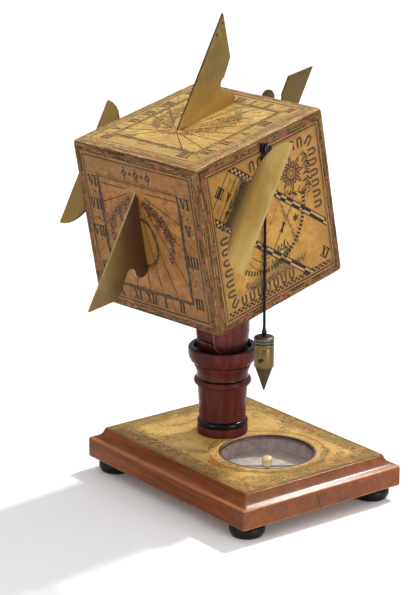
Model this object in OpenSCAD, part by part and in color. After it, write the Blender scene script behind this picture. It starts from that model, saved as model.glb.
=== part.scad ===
// Polyhedral cube sundial: five dials on a papered wooden box, carried on a
// turned column with a swivelling, tilting head, over a plinth with a compass.
// Millimetres, +Z up, +X towards the compass end, +Y towards the dials' north.
// The origin is the middle of the plinth's footprint, on the ground.

/* [Cube] */
// Side of the cube over its papers
cube_s = 75; // [70:0.5:80]
// Thickness of the cube's boards
board_t = 4; // [3:0.5:6]
// Thickness of the printed papers
paper_t = 0.25; // [0.1:0.05:0.4]
// Chamfer along the edges of the box
edge_c = 1.4; // [0.6:0.1:1.8]
// Height of the cube's underside over the tilt pin
pin_h = 7.5; // [7:0.1:9]
// Turn of the cube about the column, as it stands
swivel = 6.6; // [-20:0.1:20]
// Lean of the cube to the south, as it stands
tilt = 11; // [-20:0.5:20]

/* [Gnomons] */
// Latitude that the styles are cut for
lat = 49; // [47:0.5:51]
// Thickness of the brass plates
plate_t = 1.1; // [0.8:0.1:1.6]
// Offset of the noon plates from the middle of the cube
noon_x = -1.8; // [-3:0.1:3]
// Height of the east and west styles over the paper
side_h = 18.7; // [16:0.1:21]
// Offset of the east and west plates from the middle of their faces
side_off = 25; // [22:0.5:28]
// Depth of the plates' tabs in the boards
tab_d = 3; // [2:0.5:3.5]

/* [Plinth] */
// Length of the plinth, along X
plinth_l = 112; // [104:0.5:124]
// Width of the plinth, along Y
plinth_w = 87; // [80:0.5:96]
// Height of the feet under the plinth
foot_h = 6; // [5:0.5:8]
// Height of the plinth's upright side
side_z = 9; // [8:0.5:12]
// Radius of the cove along the top edge
cove_r = 5.4; // [4.8:0.1:6]
// Greatest radius of a bun foot
foot_r = 7.7; // [6.5:0.1:8.5]
// Distance of the foot centres from the plinth's sides
foot_in = 9; // [8.5:0.5:12]

/* [Compass] */
// Position of the compass along X
comp_x = 17; // [14:0.5:22]
// Position of the compass along Y
comp_y = 0.5; // [-2:0.5:2]
// Radius of the bowl in the plinth
bowl_r = 21.2; // [19:0.1:22]
// Length of the magnetic needle
needle_l = 27; // [20:1:34]
// Direction of the needle, as it stands
needle_a = 52.4; // [0:0.1:180]

/* [Column] */
// Position of the column along X
col_x = -15.4; // [-18:0.1:-13]
// Position of the column along Y
col_y = 1.1; // [-2:0.1:2]
// Radius of the head that carries the cube
head_r = 11.8; // [11:0.1:12.2]
// Width of the slot in the head
slot_w = 9.6; // [8:0.2:10]
// Radius of the tilt pin
pin_r = 1.6; // [1.2:0.1:2]

/* [Plumb line] */
// Height of the peg over the middle of the east face
peg_z = 33.3; // [32:0.1:34]
// Distance of the line from the east paper
line_out = 2; // [1.8:0.1:2.5]
// Diameter of the line
line_d = 1.3; // [0.8:0.1:1.4]
// Distance from the peg to the top of the bob
line_l = 81.2; // [81:0.1:84]
// Diameter of the bob
bob_d = 8.5; // [7:0.1:9]

/* [Hidden] */

$fn = 64;
eps = 0.05;

// levels
z_side = foot_h + side_z;              // top of the upright side
z_top = z_side + 4.6;                  // top of the plinth's wood
z_seat = z_top + paper_t;              // top of the plinth's paper
z_bowl = foot_h + 5;                   // floor of the compass bowl
z_glass = z_seat - 1.85;               // underside of the glass
z_cup = z_seat + 37.55;                // floor of the cup in the column
z_pin = z_seat + 60.95;                // tilt pin
h = cube_s / 2;                        // half of the cube
w = h - paper_t;                       // half of the wooden box

// colours
walnut = [0.45, 0.22, 0.11];
mahogany = [0.32, 0.12, 0.08];
brass = [0.62, 0.53, 0.25];
aged = [0.83, 0.70, 0.38];
pine = [0.72, 0.58, 0.38];
black = [0.06, 0.06, 0.06];
iron = [0.15, 0.15, 0.15];
steel = [0.45, 0.45, 0.46];

// rotations of points
function rx(p, a) = [p.x, p.y * cos(a) - p.z * sin(a), p.y * sin(a) + p.z * cos(a)];
function rz(p, a) = [p.x * cos(a) - p.y * sin(a), p.x * sin(a) + p.y * cos(a), p.z];

pin_at = [col_x, col_y, z_pin];
function cube_to_world(p) = pin_at + rz(rx(p + [0, 0, pin_h + h], tilt), swivel);
peg_at = cube_to_world([h + line_out, 0.6, peg_z]);

// frame of the cube, with its origin in the middle
module on_cube()
    translate(pin_at) rotate([0, 0, swivel]) rotate([tilt, 0, 0])
        translate([0, 0, pin_h + h]) children();

// frame of the head, with its origin on the tilt pin
module on_head() translate(pin_at) rotate([0, 0, swivel]) children();

// frame of the plumb line, with its origin on the peg and +X along the peg
module on_line() translate(peg_at) rotate([0, 0, swivel]) children();

// ---------------------------------------------------------------- plinth

module coves() {
    for (s = [-1, 1]) {
        translate([s * plinth_l / 2, 0, z_side + cove_r]) rotate([90, 0, 0])
            cylinder(r = cove_r, h = plinth_w + 20, center = true);
        translate([0, s * plinth_w / 2, z_side + cove_r]) rotate([0, 90, 0])
            cylinder(r = cove_r, h = plinth_l + 20, center = true);
    }
}

module foot_places()
    for (sx = [-1, 1], sy = [-1, 1])
        translate([sx * (plinth_l / 2 - foot_in), sy * (plinth_w / 2 - foot_in), 0])
            children();

module plinth() color(walnut) difference() {
    translate([-plinth_l / 2, -plinth_w / 2, foot_h])
        cube([plinth_l, plinth_w, z_top - foot_h]);
    coves();
    // compass bowl, mortise of the column and sockets of the feet
    translate([comp_x, comp_y, z_bowl]) cylinder(r = bowl_r, h = 20);
    translate([col_x, col_y, z_top - 8.1]) cylinder(r = 6, h = 20);
    foot_places() translate([0, 0, foot_h - 1]) cylinder(r = 2, h = 5.1);
}

cove_in = sqrt(cove_r * cove_r - pow(z_side + cove_r - z_top, 2));

module plinth_paper() color(aged) translate([0, 0, z_top])
    linear_extrude(paper_t) difference() {
        square([plinth_l - 2 * cove_in - 0.8, plinth_w - 2 * cove_in - 0.8], center = true);
        translate([comp_x, comp_y]) circle(r = bowl_r + 0.05);
        translate([col_x, col_y]) circle(r = 6);
    }

module bun_foot() color(black) rotate_extrude() {
    // dowel, neck and rounded bun with a flat sole
    square([2, foot_h + 4]);
    square([foot_r - 2.6, foot_h]);
    intersection() {
        translate([foot_r - 2.9, foot_h / 2]) circle(r = 2.9);
        square([foot_r + 1, foot_h]);
    }
}

module foot(sx, sy)
    translate([sx * (plinth_l / 2 - foot_in), sy * (plinth_w / 2 - foot_in), 0]) bun_foot();

module foot_front_west() foot(-1, -1);
module foot_front_east() foot(1, -1);
module foot_back_west() foot(-1, 1);
module foot_back_east() foot(1, 1);

// ---------------------------------------------------------------- compass

module at_compass(z) translate([comp_x, comp_y, z]) children();

module compass_lining() color([0.42, 0.36, 0.33]) at_compass(z_bowl) difference() {
    cylinder(r = bowl_r, h = z_glass - z_bowl);
    translate([0, 0, -1]) cylinder(r = bowl_r - 0.8, h = 20);
}

module compass_card() color([0.70, 0.68, 0.64]) at_compass(z_bowl) difference() {
    cylinder(r = bowl_r - 0.8, h = 0.4);
    translate([0, 0, -1]) cylinder(r = 1, h = 3);
}

module compass_pivot() color(steel) at_compass(z_bowl) rotate_extrude()
    polygon([[0, 0], [1, 0], [1, 0.9], [0.45, 1.1], [0.45, 4.7], [0, 5.4]]);

module compass_glass() color([0.85, 0.92, 0.92, 0.35]) at_compass(z_glass)
    cylinder(r = bowl_r, h = 1.2);

module glass_ring() color([0.72, 0.66, 0.52]) at_compass(z_glass + 1.2) rotate_extrude()
    difference() {
        translate([bowl_r - 1.3, 0]) square([1.3, 0.75]);
        translate([bowl_r - 1.3, 0.75]) circle(r = 0.4);
    }

module compass_needle() color(steel) at_compass(z_bowl + 2) rotate([0, 0, needle_a])
    linear_extrude(0.4) difference() {
        union() {
            polygon([[needle_l / 2, 0], [0, 1.3], [-needle_l / 2, 0], [0, -1.3]]);
            circle(r = 2.2);
        }
        circle(r = 1.2);
    }

module needle_cap() color(brass) at_compass(z_bowl) rotate_extrude() difference() {
    union() {
        translate([0, 1.7]) square([1.2, 2]);
        translate([0, 2.4]) square([1.8, 3.9]);
        translate([0, 6.2]) square([1.45, 0.4]);
    }
    polygon([[-1, 1], [0.85, 1], [0.85, 5.2], [0, 5.6], [-1, 5.6]]);
}

// ---------------------------------------------------------------- column

module column_profile() difference() {
    union() {
        // tenon and foot disc
        translate([0, z_top - 8]) square([6, 12]);
        translate([0, z_seat]) square([11.1, 3.6]);
        translate([0, z_seat + 0.5]) square([11.3, 2.7]);
        // ring over the foot
        translate([9.9, z_seat + 5.1]) circle(r = 1.6);
        // shaft
        polygon([[0, z_seat + 3], [10, z_seat + 3], [10.35, z_seat + 7],
                 [10.45, z_seat + 12], [10.9, z_seat + 20.6], [11.3, z_seat + 21.8],
                 [11.3, z_seat + 26], [11.5, z_seat + 28.6], [12, z_seat + 30.4],
                 [0, z_seat + 30.4]]);
        // bead
        translate([11.1, z_seat + 24.3]) circle(r = 1.95);
        // fillets and cup
        polygon([[0, z_seat + 30.2], [11.8, z_seat + 30.2], [11.8, z_seat + 30.9],
                 [12.5, z_seat + 31.1], [12.5, z_seat + 31.9], [12.3, z_seat + 32.1],
                 [13.1, z_seat + 33.4], [14.1, z_seat + 34.5], [14.9, z_seat + 35.6],
                 [15.2, z_seat + 36.8], [15.2, z_seat + 39.3], [0, z_seat + 39.3]]);
        translate([13.8, z_seat + 39.2]) circle(r = 1.4);
        translate([0, z_seat + 37]) square([13.8, 3.6]);
    }
    // cup and bore of the swivel
    polygon([[-1, z_cup], [12, z_cup], [12.3, z_cup + 1], [12.7, z_cup + 8], [-1, z_cup + 8]]);
    translate([-1, z_cup - 18.2]) square([6, 19]);
    translate([-30, z_seat - 20]) square([30, 120]);
}

module column() color(mahogany) translate([col_x, col_y, 0]) rotate_extrude()
    column_profile();

// The head turns on its spigot in the column. It is forked for the tongue.
module fork_head() color(mahogany) on_head() difference() {
    rotate_extrude() difference() {
        union() {
            // spigot
            translate([0, z_cup - z_pin - 18]) square([4.95, 20]);
            // neck and domed top
            polygon([[0, z_cup - z_pin + 0.15], [9.4, z_cup - z_pin + 0.15],
                     [10.3, z_cup - z_pin + 1.2], [10.9, z_cup - z_pin + 3.2],
                     [11.4, z_cup - z_pin + 6], [head_r, z_cup - z_pin + 9.5],
                     [head_r, 0.4], [11, 1.7], [8, 3.5], [4, 5.8], [0, 5.8]]);
        }
        translate([-30, -60]) square([30, 120]);
    }
    // slot, with a floor that follows the end of the tongue
    rotate([0, 90, 0]) cylinder(r = 20.4, h = slot_w, center = true);
    translate([-slot_w / 2, -20, 0]) cube([slot_w, 40, 60]);
    rotate([0, 90, 0]) cylinder(r = pin_r, h = 60, center = true);
}

module tilt_pin() color(brass) on_head() rotate([0, 90, 0])
    cylinder(r = pin_r, h = 2 * head_r - 1.2, center = true);

// ---------------------------------------------------------------- cube

// The tongue is glued to the bottom board and tilts on the pin.
module tongue() color(mahogany) on_cube() translate([0, 0, -h - pin_h]) difference() {
    union() {
        rotate([90, 0, 90]) linear_extrude(slot_w - 0.4, center = true) intersection() {
            // a fan, so that its front stays level with the head as it leans
            polygon([[-10.6, pin_h], [-10.6, 0], [-13.6, -14.5], [-13.6, -24],
                     [6.2, -24], [7.8, -14.5], [10.4, -1], [10.6, pin_h]]);
            union() {
                circle(r = 20);
                translate([-11, 0]) square([22, 30]);
            }
        }
        translate([-3, -7, pin_h]) cube([6, 14, board_t - 1]);
    }
    rotate([0, 90, 0]) cylinder(r = pin_r + 0.06, h = 40, center = true);
}

// outer form of the wooden box, with chamfered edges
module box_form() intersection() {
    translate([-w, -w, -h]) cube([2 * w, 2 * w, h + w]);
    for_edges();
}

module for_edges() intersection() {
    d = w * sqrt(2) - edge_c / sqrt(2);
    rotate([45, 0, 0]) cube([200, 2 * d, 2 * d], center = true);
    rotate([0, 45, 0]) cube([2 * d, 200, 2 * d], center = true);
    rotate([0, 0, 45]) cube([2 * d, 2 * d, 200], center = true);
}

module slab(lo, hi) translate(lo) cube(hi - lo);

i = w - board_t;                       // half of the space inside

module bottom_board() color(pine) on_cube() difference() {
    intersection() { box_form(); slab([-h, -h, -h], [h, h, -i]); }
    translate([-3, -7, -h - 1]) cube([6, 14, board_t]);
}

module top_board() color(pine) on_cube() difference() {
    intersection() { box_form(); slab([-h, -h, i], [h, h, h]); }
    tab_top(eps);
    peg_hole();
}

module south_board() color(pine) on_cube() difference() {
    intersection() { box_form(); slab([-i, -h, -i], [i, -i, i]); }
    tab_south(eps);
}

module north_board() color(pine) on_cube() difference() {
    intersection() { box_form(); slab([-i, i, -i], [i, h, i]); }
    tab_north(eps);
}

module east_board() color(pine) on_cube() difference() {
    intersection() { box_form(); slab([i, -h, -i], [h, h, i]); }
    tab_side(eps);
    peg_hole();
}

module west_board() color(pine) on_cube() difference() {
    intersection() { box_form(); slab([-h, -h, -i], [-i, h, i]); }
    mirror([1, 0, 0]) tab_side(eps);
}

// printed papers
p = w - edge_c;                        // half of a paper

module top_paper() color(aged) on_cube() difference() {
    slab([-p, -p, w], [p, p, h]);
    tab_top(eps);
}

module south_paper() color(aged) on_cube() difference() {
    slab([-p, -h, -p], [p, -w, p]);
    tab_south(eps);
}

module north_paper() color(aged) on_cube() difference() {
    slab([-p, w, -p], [p, h, p]);
    tab_north(eps);
}

module east_paper() color(aged) on_cube() difference() {
    slab([w, -p, -p], [h, p, p]);
    tab_side(eps);
    peg_hole();
}

module west_paper() color(aged) on_cube() difference() {
    slab([-h, -p, -p], [-w, p, p]);
    mirror([1, 0, 0]) tab_side(eps);
}

// ---------------------------------------------------------------- gnomons

// a plate in the noon plane, from an outline in Y and Z
module noon_plate(t) translate([noon_x, 0, 0]) rotate([90, 0, 90])
    linear_extrude(t, center = true) children();

module tab_top(e) noon_plate(plate_t + 2 * e)
    translate([-4 - e, h - tab_d - e]) square([20 + 2 * e, tab_d + 2 * e]);

module tab_south(e) noon_plate(plate_t + 2 * e)
    translate([-h - e, -9 - e]) square([tab_d + 2 * e, 20 + 2 * e]);

module tab_north(e) noon_plate(plate_t + 2 * e)
    translate([h - tab_d - e, 4 - e]) square([tab_d + 2 * e, 20 + 2 * e]);

// top: the style rises from its toe at the latitude, to the north
toe_t = -10.4;
rise_t = 41;

module top_gnomon() color(brass) on_cube() {
    noon_plate(plate_t) translate([0, h]) difference() {
        union() {
            polygon([[toe_t, 0], [toe_t + rise_t / tan(lat), rise_t],
                     [toe_t + rise_t / tan(lat) + 0.6, 21.1], [20.7, 13.9],
                     [21.2, 10], [22, 3], [22, 0]]);
            translate([21.8, 3.5]) circle(r = 3.5);
        }
        translate([21.3, 10.5]) circle(r = 3.3);
    }
    tab_top(0);
}

// south: the style falls from its toe, away from the face
toe_s = 21;
drop_s = 41;

module south_gnomon() color(brass) on_cube() {
    noon_plate(plate_t) translate([-h, 0]) difference() {
        union() {
            polygon([[0, toe_s], [-drop_s / tan(lat), toe_s - drop_s], [-20.2, -21.2],
                     [-18.4, -20.4], [-15.6, -16.4], [-10.5, -10.8], [-6, -10], [0, -13]]);
            translate([-3.9, -13.3]) circle(r = 3.8);
        }
        translate([-10.2, -13.5]) circle(r = 2.6);
    }
    tab_south(0);
}

// north: the style rises from its toe, away from the face
toe_n = -4.5;
rise_n = 42;

module north_gnomon() color(brass) on_cube() {
    noon_plate(plate_t) translate([h, 0]) difference() {
        union() {
            polygon([[0, toe_n], [rise_n / tan(lat), toe_n + rise_n], [21.4, 38.2],
                     [15.4, 31], [14, 26], [9, 26], [4.2, 33], [0, 30]]);
            translate([7.3, 33]) circle(r = 3.7);
        }
        translate([13.3, 30.6]) circle(r = 2.5);
    }
    tab_north(0);
}

// east and west: half-moon plates along the pole, with a straight style
module side_plate(t) rotate([lat, 0, 0]) translate([h, -1.5, side_off])
    linear_extrude(t, center = true) children();

module tab_side(e) side_plate(plate_t + 2 * e)
    translate([-tab_d - e, -8 - e]) square([tab_d + 2 * e + 0.6, 16 + 2 * e]);

// straight style, two rounded ends, and a foot that stands on the paper
module half_moon() {
    polygon(concat([for (t = [0 : 6 : 90]) [side_h - 14.4 * cos(t), 10 + 21.2 * sin(t)]],
                   [for (t = [90 : -6 : 0]) [side_h - 14.4 * cos(t), -9 - 17.7 * sin(t)]]));
    translate([0, -9.5]) square([6, 20.5]);
}

module east_gnomon() color(brass) on_cube() {
    side_plate(plate_t) half_moon();
    tab_side(0);
}

module west_gnomon() color(brass) on_cube() mirror([1, 0, 0]) {
    side_plate(plate_t) half_moon();
    tab_side(0);
}

// ---------------------------------------------------------------- plumb line

peg_r = 1.2;

module peg_hole() translate([i - 1, 0.6, peg_z]) rotate([0, 90, 0])
    cylinder(r = peg_r, h = 20);

module plumb_peg() color(iron) on_cube() translate([h, 0.6, peg_z]) rotate([0, 90, 0])
    rotate_extrude() union() {
        translate([0, -board_t + 0.4]) square([peg_r, board_t + line_out + 1]);
        square([2, 0.5]);
        translate([0, line_out + 1.1]) square([2, 0.9]);
        translate([0, line_out + 1.9]) square([1.5, 0.5]);
    }

// loop of the line round the peg, with a running clearance
loop_r = peg_r + 0.06 + line_d / 2;

module cord_loop() color(black) on_line() rotate([0, 90, 0])
    rotate_extrude() translate([loop_r, 0]) circle(d = line_d);

// route of the line, down from the peg
eye_h = 3.6;
route = concat([-loop_r], [for (k = [4 : 3 : 76]) -k], [-(line_l - eye_h)]);
sides = 8;

function ring(z) = [for (k = [0 : sides - 1])
    [line_d / 2 * cos(k * 360 / sides), line_d / 2 * sin(k * 360 / sides), z]];

module sweep(zs) {
    n = len(zs);
    pts = [for (z = zs) each ring(z)];
    walls = [for (r = [0 : n - 2], k = [0 : sides - 1])
        [r * sides + k, r * sides + (k + 1) % sides,
         (r + 1) * sides + (k + 1) % sides, (r + 1) * sides + k]];
    top = [[for (k = [sides - 1 : -1 : 0]) k]];
    end = [[for (k = [0 : sides - 1]) (n - 1) * sides + k]];
    polyhedron(pts, concat(walls, top, end));
}

module plumb_cord() color(black) on_line() sweep(route);

module on_bob() translate(peg_at - [0, 0, line_l]) rotate([0, 0, swivel]) children();

// knotted eye that the line is tied in
module bob_eye() color(iron) on_bob() rotate_extrude()
    polygon([[0, 0], [1.1, 0], [0.8, 0.6], [1.05, 1.3], [1.05, 2.2], [0.75, 3],
             [0.7, eye_h], [0, eye_h]]);

module bob_cap() color(steel) on_bob() rotate_extrude()
    polygon([[0, -3.1], [bob_d / 2 - 0.35, -3.1], [bob_d / 2 - 0.35, -2.7],
             [bob_d / 2 + 0.1, -2.55], [bob_d / 2 + 0.1, -1.8], [bob_d / 2 - 0.05, -1.65],
             [bob_d / 2 + 0.1, -1.5], [bob_d / 2 + 0.1, -0.6], [bob_d / 2 - 0.4, -0.1],
             [bob_d / 2 - 0.9, 0], [0, 0]]);

module bob_body() color(brass) on_bob() difference() {
    rotate_extrude()
        polygon([[0, -13.4], [bob_d / 2 - 0.25, -13.4], [bob_d / 2, -13],
                 [bob_d / 2, -3.4], [bob_d / 2 - 0.3, -3.1], [0, -3.1]]);
    // cross hole for a turning pin
    rotate([0, 0, -65]) translate([0, 0, -9.8]) rotate([0, 90, 0]) translate([0, 0, 1.5])
        cylinder(r = 0.65, h = 6);
}

module bob_tip() color([0.35, 0.32, 0.24]) on_bob() rotate_extrude()
    polygon([[0, -24.2], [0.25, -24.1], [bob_d / 2 - 0.25, -13.4], [0, -13.4]]);

// ---------------------------------------------------------------- assembly

plinth();
plinth_paper();
foot_front_west();
foot_front_east();
foot_back_west();
foot_back_east();
compass_lining();
compass_card();
compass_pivot();
compass_glass();
glass_ring();
column();
fork_head();
tilt_pin();
tongue();
bottom_board();
top_board();
south_board();
north_board();
east_board();
west_board();
top_paper();
south_paper();
north_paper();
east_paper();
west_paper();
top_gnomon();
south_gnomon();
north_gnomon();
east_gnomon();
west_gnomon();
plumb_peg();
cord_loop();
plumb_cord();
bob_eye();
bob_cap();
bob_body();
bob_tip();
compass_needle();
needle_cap();
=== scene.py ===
"""Looks of the cube sundial: papers with printed dials, brass plates, turned and moulded wood, compass and plumb line."""
import math
import random

import bpy
import bmesh
from mathutils import Matrix, Vector
from mathutils.geometry import tessellate_polygon


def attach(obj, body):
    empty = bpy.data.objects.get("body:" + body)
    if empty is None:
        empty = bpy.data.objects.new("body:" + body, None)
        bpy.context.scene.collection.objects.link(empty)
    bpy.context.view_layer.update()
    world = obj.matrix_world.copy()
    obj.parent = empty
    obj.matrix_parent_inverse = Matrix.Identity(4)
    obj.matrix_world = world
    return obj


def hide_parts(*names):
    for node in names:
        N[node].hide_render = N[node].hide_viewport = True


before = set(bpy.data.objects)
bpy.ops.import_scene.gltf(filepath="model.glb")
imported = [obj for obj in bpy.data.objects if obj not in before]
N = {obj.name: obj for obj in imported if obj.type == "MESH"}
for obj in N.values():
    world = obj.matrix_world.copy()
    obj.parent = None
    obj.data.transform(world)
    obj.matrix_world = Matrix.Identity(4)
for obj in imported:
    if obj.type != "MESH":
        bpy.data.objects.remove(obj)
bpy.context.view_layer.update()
MM = 0.001
rad = math.radians
rnd = random.Random(11)
scene = bpy.context.scene

# ---------------------------------------------------------------- dimensions, in millimetres
H = 37.5                 # half of the cube
HS = 37.95               # outer face of the pasted sheets, which stand a little proud
EDGE_R = 2.1             # rounding of the cube's edges
LAT = rad(49)
SW, TI = rad(6.6), rad(11)
PIN = Vector((-15.4, 1.1, 80.8))
PIN_H = 7.5
NOON_X = -1.8
PLATE_T = 1.1
SIDE_H, SIDE_OFF = 18.7, 25.0
Z_TOP, Z_SEAT = 19.6, 19.85
COMP = Vector((17.0, 0.5, 0.0))
BOWL_R = 21.2
Z_BOWL = 11.0
Z_GLASS = Z_SEAT - 1.85
COL = Vector((-15.4, 1.1, 0.0))
PL, PW = 112.0, 87.0
FOOT_IN = 9.0
LINE_L, LINE_D, EYE_H, LOOP_R = 81.2, 1.3, 3.6, 1.2 + 0.06 + 0.65
BOB_D = 8.5

CUBE = (Matrix.Translation(PIN * MM) @ Matrix.Rotation(SW, 4, "Z") @ Matrix.Rotation(TI, 4, "X")
        @ Matrix.Translation((0, 0, (PIN_H + H) * MM)))
PEG = CUBE @ Vector(((H + 2) * MM, 0.6 * MM, 33.3 * MM))

# ---------------------------------------------------------------- camera
AZ, EL = rad(52.42), rad(17.16)
back = Vector((math.sin(AZ) * math.cos(EL), -math.cos(AZ) * math.cos(EL), math.sin(EL)))
cam_data = bpy.data.cameras.new("camera")
cam_data.lens = 146.5
cam_data.sensor_width = 36
cam_data.clip_start, cam_data.clip_end = 0.01, 50
cam = bpy.data.objects.new("camera", cam_data)
scene.collection.objects.link(cam)
cam.location = Vector((780.65, -621.28, 393.72)) * MM
cam.rotation_mode = "QUATERNION"
cam.rotation_quaternion = (-back).to_track_quat("-Z", "Y")
scene.camera = cam
scene.view_settings.view_transform = "Standard"


# ---------------------------------------------------------------- node helpers
class Mat:
    """A material with a principled shader and short calls for its nodes."""

    def __init__(self, name):
        self.m = bpy.data.materials.new(name)
        self.m.use_nodes = True
        self.nt = self.m.node_tree
        self.b = self.nt.nodes["Principled BSDF"]
        self.coord = self.nt.nodes.new("ShaderNodeTexCoord")

    def set(self, **kw):
        for k, v in kw.items():
            self.b.inputs[k.replace("_", " ")].default_value = v
        return self

    def link(self, out, name):
        self.nt.links.new(out, self.b.inputs[name])

    def place(self, scale=(1, 1, 1), loc=(0, 0, 0), rot=(0, 0, 0)):
        mp = self.nt.nodes.new("ShaderNodeMapping")
        mp.inputs["Scale"].default_value = scale
        mp.inputs["Location"].default_value = loc
        mp.inputs["Rotation"].default_value = rot
        self.nt.links.new(self.coord.outputs["Object"], mp.inputs["Vector"])
        return mp.outputs["Vector"]

    def noise(self, vec, scale=1.0, detail=4.0, rough=0.55, distort=0.0):
        n = self.nt.nodes.new("ShaderNodeTexNoise")
        n.inputs["Scale"].default_value = scale
        n.inputs["Detail"].default_value = detail
        n.inputs["Roughness"].default_value = rough
        n.inputs["Distortion"].default_value = distort
        self.nt.links.new(vec, n.inputs["Vector"])
        return n.outputs["Fac"]

    def voronoi(self, vec, scale, feature="F1", rand=1.0):
        n = self.nt.nodes.new("ShaderNodeTexVoronoi")
        n.feature = feature
        n.inputs["Scale"].default_value = scale
        n.inputs["Randomness"].default_value = rand
        self.nt.links.new(vec, n.inputs["Vector"])
        return n.outputs["Distance"]

    def ramp(self, fac, *stops):
        r = self.nt.nodes.new("ShaderNodeValToRGB")
        els = r.color_ramp.elements
        while len(els) < len(stops):
            els.new(0.5)
        for e, (p, c) in zip(els, stops):
            e.position = p
            e.color = (c, c, c, 1) if isinstance(c, (int, float)) else (*c, 1)
        self.nt.links.new(fac, r.inputs["Fac"])
        return r.outputs["Color"]

    def mix(self, fac, a, b, blend="MIX"):
        n = self.nt.nodes.new("ShaderNodeMix")
        n.data_type = "RGBA"
        n.blend_type = blend
        for sock, v in ((n.inputs[0], fac), (n.inputs[6], a), (n.inputs[7], b)):
            if isinstance(v, bpy.types.NodeSocket):
                self.nt.links.new(v, sock)
            elif isinstance(v, (int, float)):
                sock.default_value = v
            else:
                sock.default_value = (*v, 1)
        return n.outputs[2]

    def math(self, op, a, b=0.0):
        n = self.nt.nodes.new("ShaderNodeMath")
        n.operation = op
        for sock, v in ((n.inputs[0], a), (n.inputs[1], b)):
            if isinstance(v, bpy.types.NodeSocket):
                self.nt.links.new(v, sock)
            else:
                sock.default_value = v
        return n.outputs[0]

    def axis(self, k):
        """One of the object's own coordinates."""
        n = self.nt.nodes.new("ShaderNodeSeparateXYZ")
        self.nt.links.new(self.coord.outputs["Object"], n.inputs[0])
        return n.outputs["XYZ".index(k)]

    def bump(self, height, strength=0.3, dist=0.0002):
        n = self.nt.nodes.new("ShaderNodeBump")
        n.inputs["Strength"].default_value = strength
        n.inputs["Distance"].default_value = dist
        self.nt.links.new(height, n.inputs["Height"])
        self.link(n.outputs["Normal"], "Normal")


def paper_material(name, base, light, stain, seed, rough=0.5, grime=None, mottle=0.45):
    """Old varnished paper: cloudy yellowing, brown stains, mottling, foxing spots and dirt towards its edges."""
    m = Mat(name)
    v = m.place(loc=(seed, seed * 0.7, -seed))
    cloud = m.noise(v, 42, 5, 0.6, 0.4)
    col = m.mix(m.ramp(cloud, (0.34, 0.0), (0.66, 1.0)), base, light)
    st = m.noise(v, 95, 6, 0.65, 0.9)
    col = m.mix(m.ramp(st, (0.50, 0.0), (0.74, 0.7)), col, stain)
    grit = m.noise(v, 360, 5, 0.75, 0.5)
    col = m.mix(m.ramp(grit, (0.34, mottle), (0.54, 0.0)), col, stain)
    col = m.mix(m.ramp(grit, (0.56, 0.0), (0.72, mottle)), col, light)
    fib = m.noise(m.place((1500, 1300, 1500), (seed, 0, 0)), 1.0, 3, 0.6, 0.6)
    col = m.mix(m.ramp(fib, (0.36, 0.22), (0.60, 0.0)), col, stain, "MULTIPLY")
    if grime:
        (a, ha), (b, hb), tone, amount, lo = grime
        far = m.math("MAXIMUM", m.math("MULTIPLY", m.math("ABSOLUTE", m.axis(a)), 1 / ha), m.math("MULTIPLY", m.math("ABSOLUTE", m.axis(b)), 1 / hb))
        blot = m.noise(v, 120, 6, 0.7, 0.9)
        far = m.math("ADD", far, m.math("MULTIPLY", m.math("SUBTRACT", blot, 0.5), 0.7))
        col = m.mix(m.ramp(far, (lo, 0.0), (1.0, amount)), col, tone)
    fox = m.voronoi(v, 210)
    col = m.mix(m.ramp(fox, (0.04, 0.5), (0.14, 0.0)), col, (stain[0] * 0.45, stain[1] * 0.38, stain[2] * 0.3))
    m.link(col, "Base Color")
    m.link(m.ramp(cloud, (0.3, rough - 0.06), (0.7, rough + 0.14)), "Roughness")
    m.set(Specular_IOR_Level=0.16)
    m.bump(m.math("ADD", m.math("MULTIPLY", fib, 0.5), st), 0.18, 0.00012)
    return m.m


def border_material(name, axis, seed, dark, mid, fair, pale):
    """Rubbed printed border: fine rules along one axis, from dark to pale, with greenish and worn patches."""
    m = Mat(name)
    s = [1050, 1050, 1050]
    s["XYZ".index(axis)] = 26
    rule = m.noise(m.place(tuple(s), (seed, seed, seed)), 1.0, 3, 0.55, 0.5)
    v = m.place(loc=(seed, 0, seed))
    blot = m.noise(v, 170, 5, 0.7, 0.8)
    wide = m.noise(v, 60, 4, 0.6, 0.6)
    speck = m.noise(v, 750, 3, 0.6, 0.2)
    col = m.ramp(rule, (0.30, dark), (0.46, mid), (0.60, fair), (0.74, pale))
    col = m.mix(m.ramp(blot, (0.52, 0.0), (0.74, 0.55)), col, (mid[0] * 0.75, mid[1] * 0.92, mid[2] * 0.75))
    col = m.mix(m.ramp(wide, (0.54, 0.0), (0.74, 0.4)), col, fair)
    col = m.mix(m.ramp(wide, (0.26, 0.6), (0.44, 0.0)), col, dark)
    col = m.mix(m.ramp(speck, (0.62, 0.0), (0.74, 0.4)), col, pale)
    m.link(col, "Base Color")
    m.link(m.ramp(blot, (0.3, 0.5), (0.7, 0.7)), "Roughness")
    m.set(Specular_IOR_Level=0.05)
    m.bump(m.math("ADD", rule, speck), 0.25, 0.00012)
    return m.m


def edge_material(name, seed, dark, mid, fair, pale, wear_and_highlight=0.0):
    """Bare worn edge: the print rubbed away to fibres, with dark handling marks. The last argument shifts it paler,
    which on the top copy is partly a painted highlight along the edge.
    """
    m = Mat(name)
    v = m.place(loc=(seed, 0, seed))
    a = m.noise(v, 260, 6, 0.75, 0.7)
    b = m.noise(v, 48, 4, 0.6, 0.8)
    c = m.noise(v, 1100, 3, 0.6, 0.2)
    col = m.ramp(a, (0.34, dark), (0.48 - wear_and_highlight, mid), (0.60 - wear_and_highlight, fair), (0.70 - wear_and_highlight, pale))
    col = m.mix(m.ramp(b, (0.46, 0.0), (0.70, 0.6)), col, mid)
    col = m.mix(m.ramp(c, (0.35, 0.35), (0.6, 0.0)), col, dark)
    m.link(col, "Base Color")
    m.link(m.ramp(a, (0.3, 0.55), (0.7, 0.8)), "Roughness")
    m.set(Specular_IOR_Level=0.06)
    m.bump(m.math("ADD", a, c), 0.4, 0.00025)
    return m.m


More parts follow.
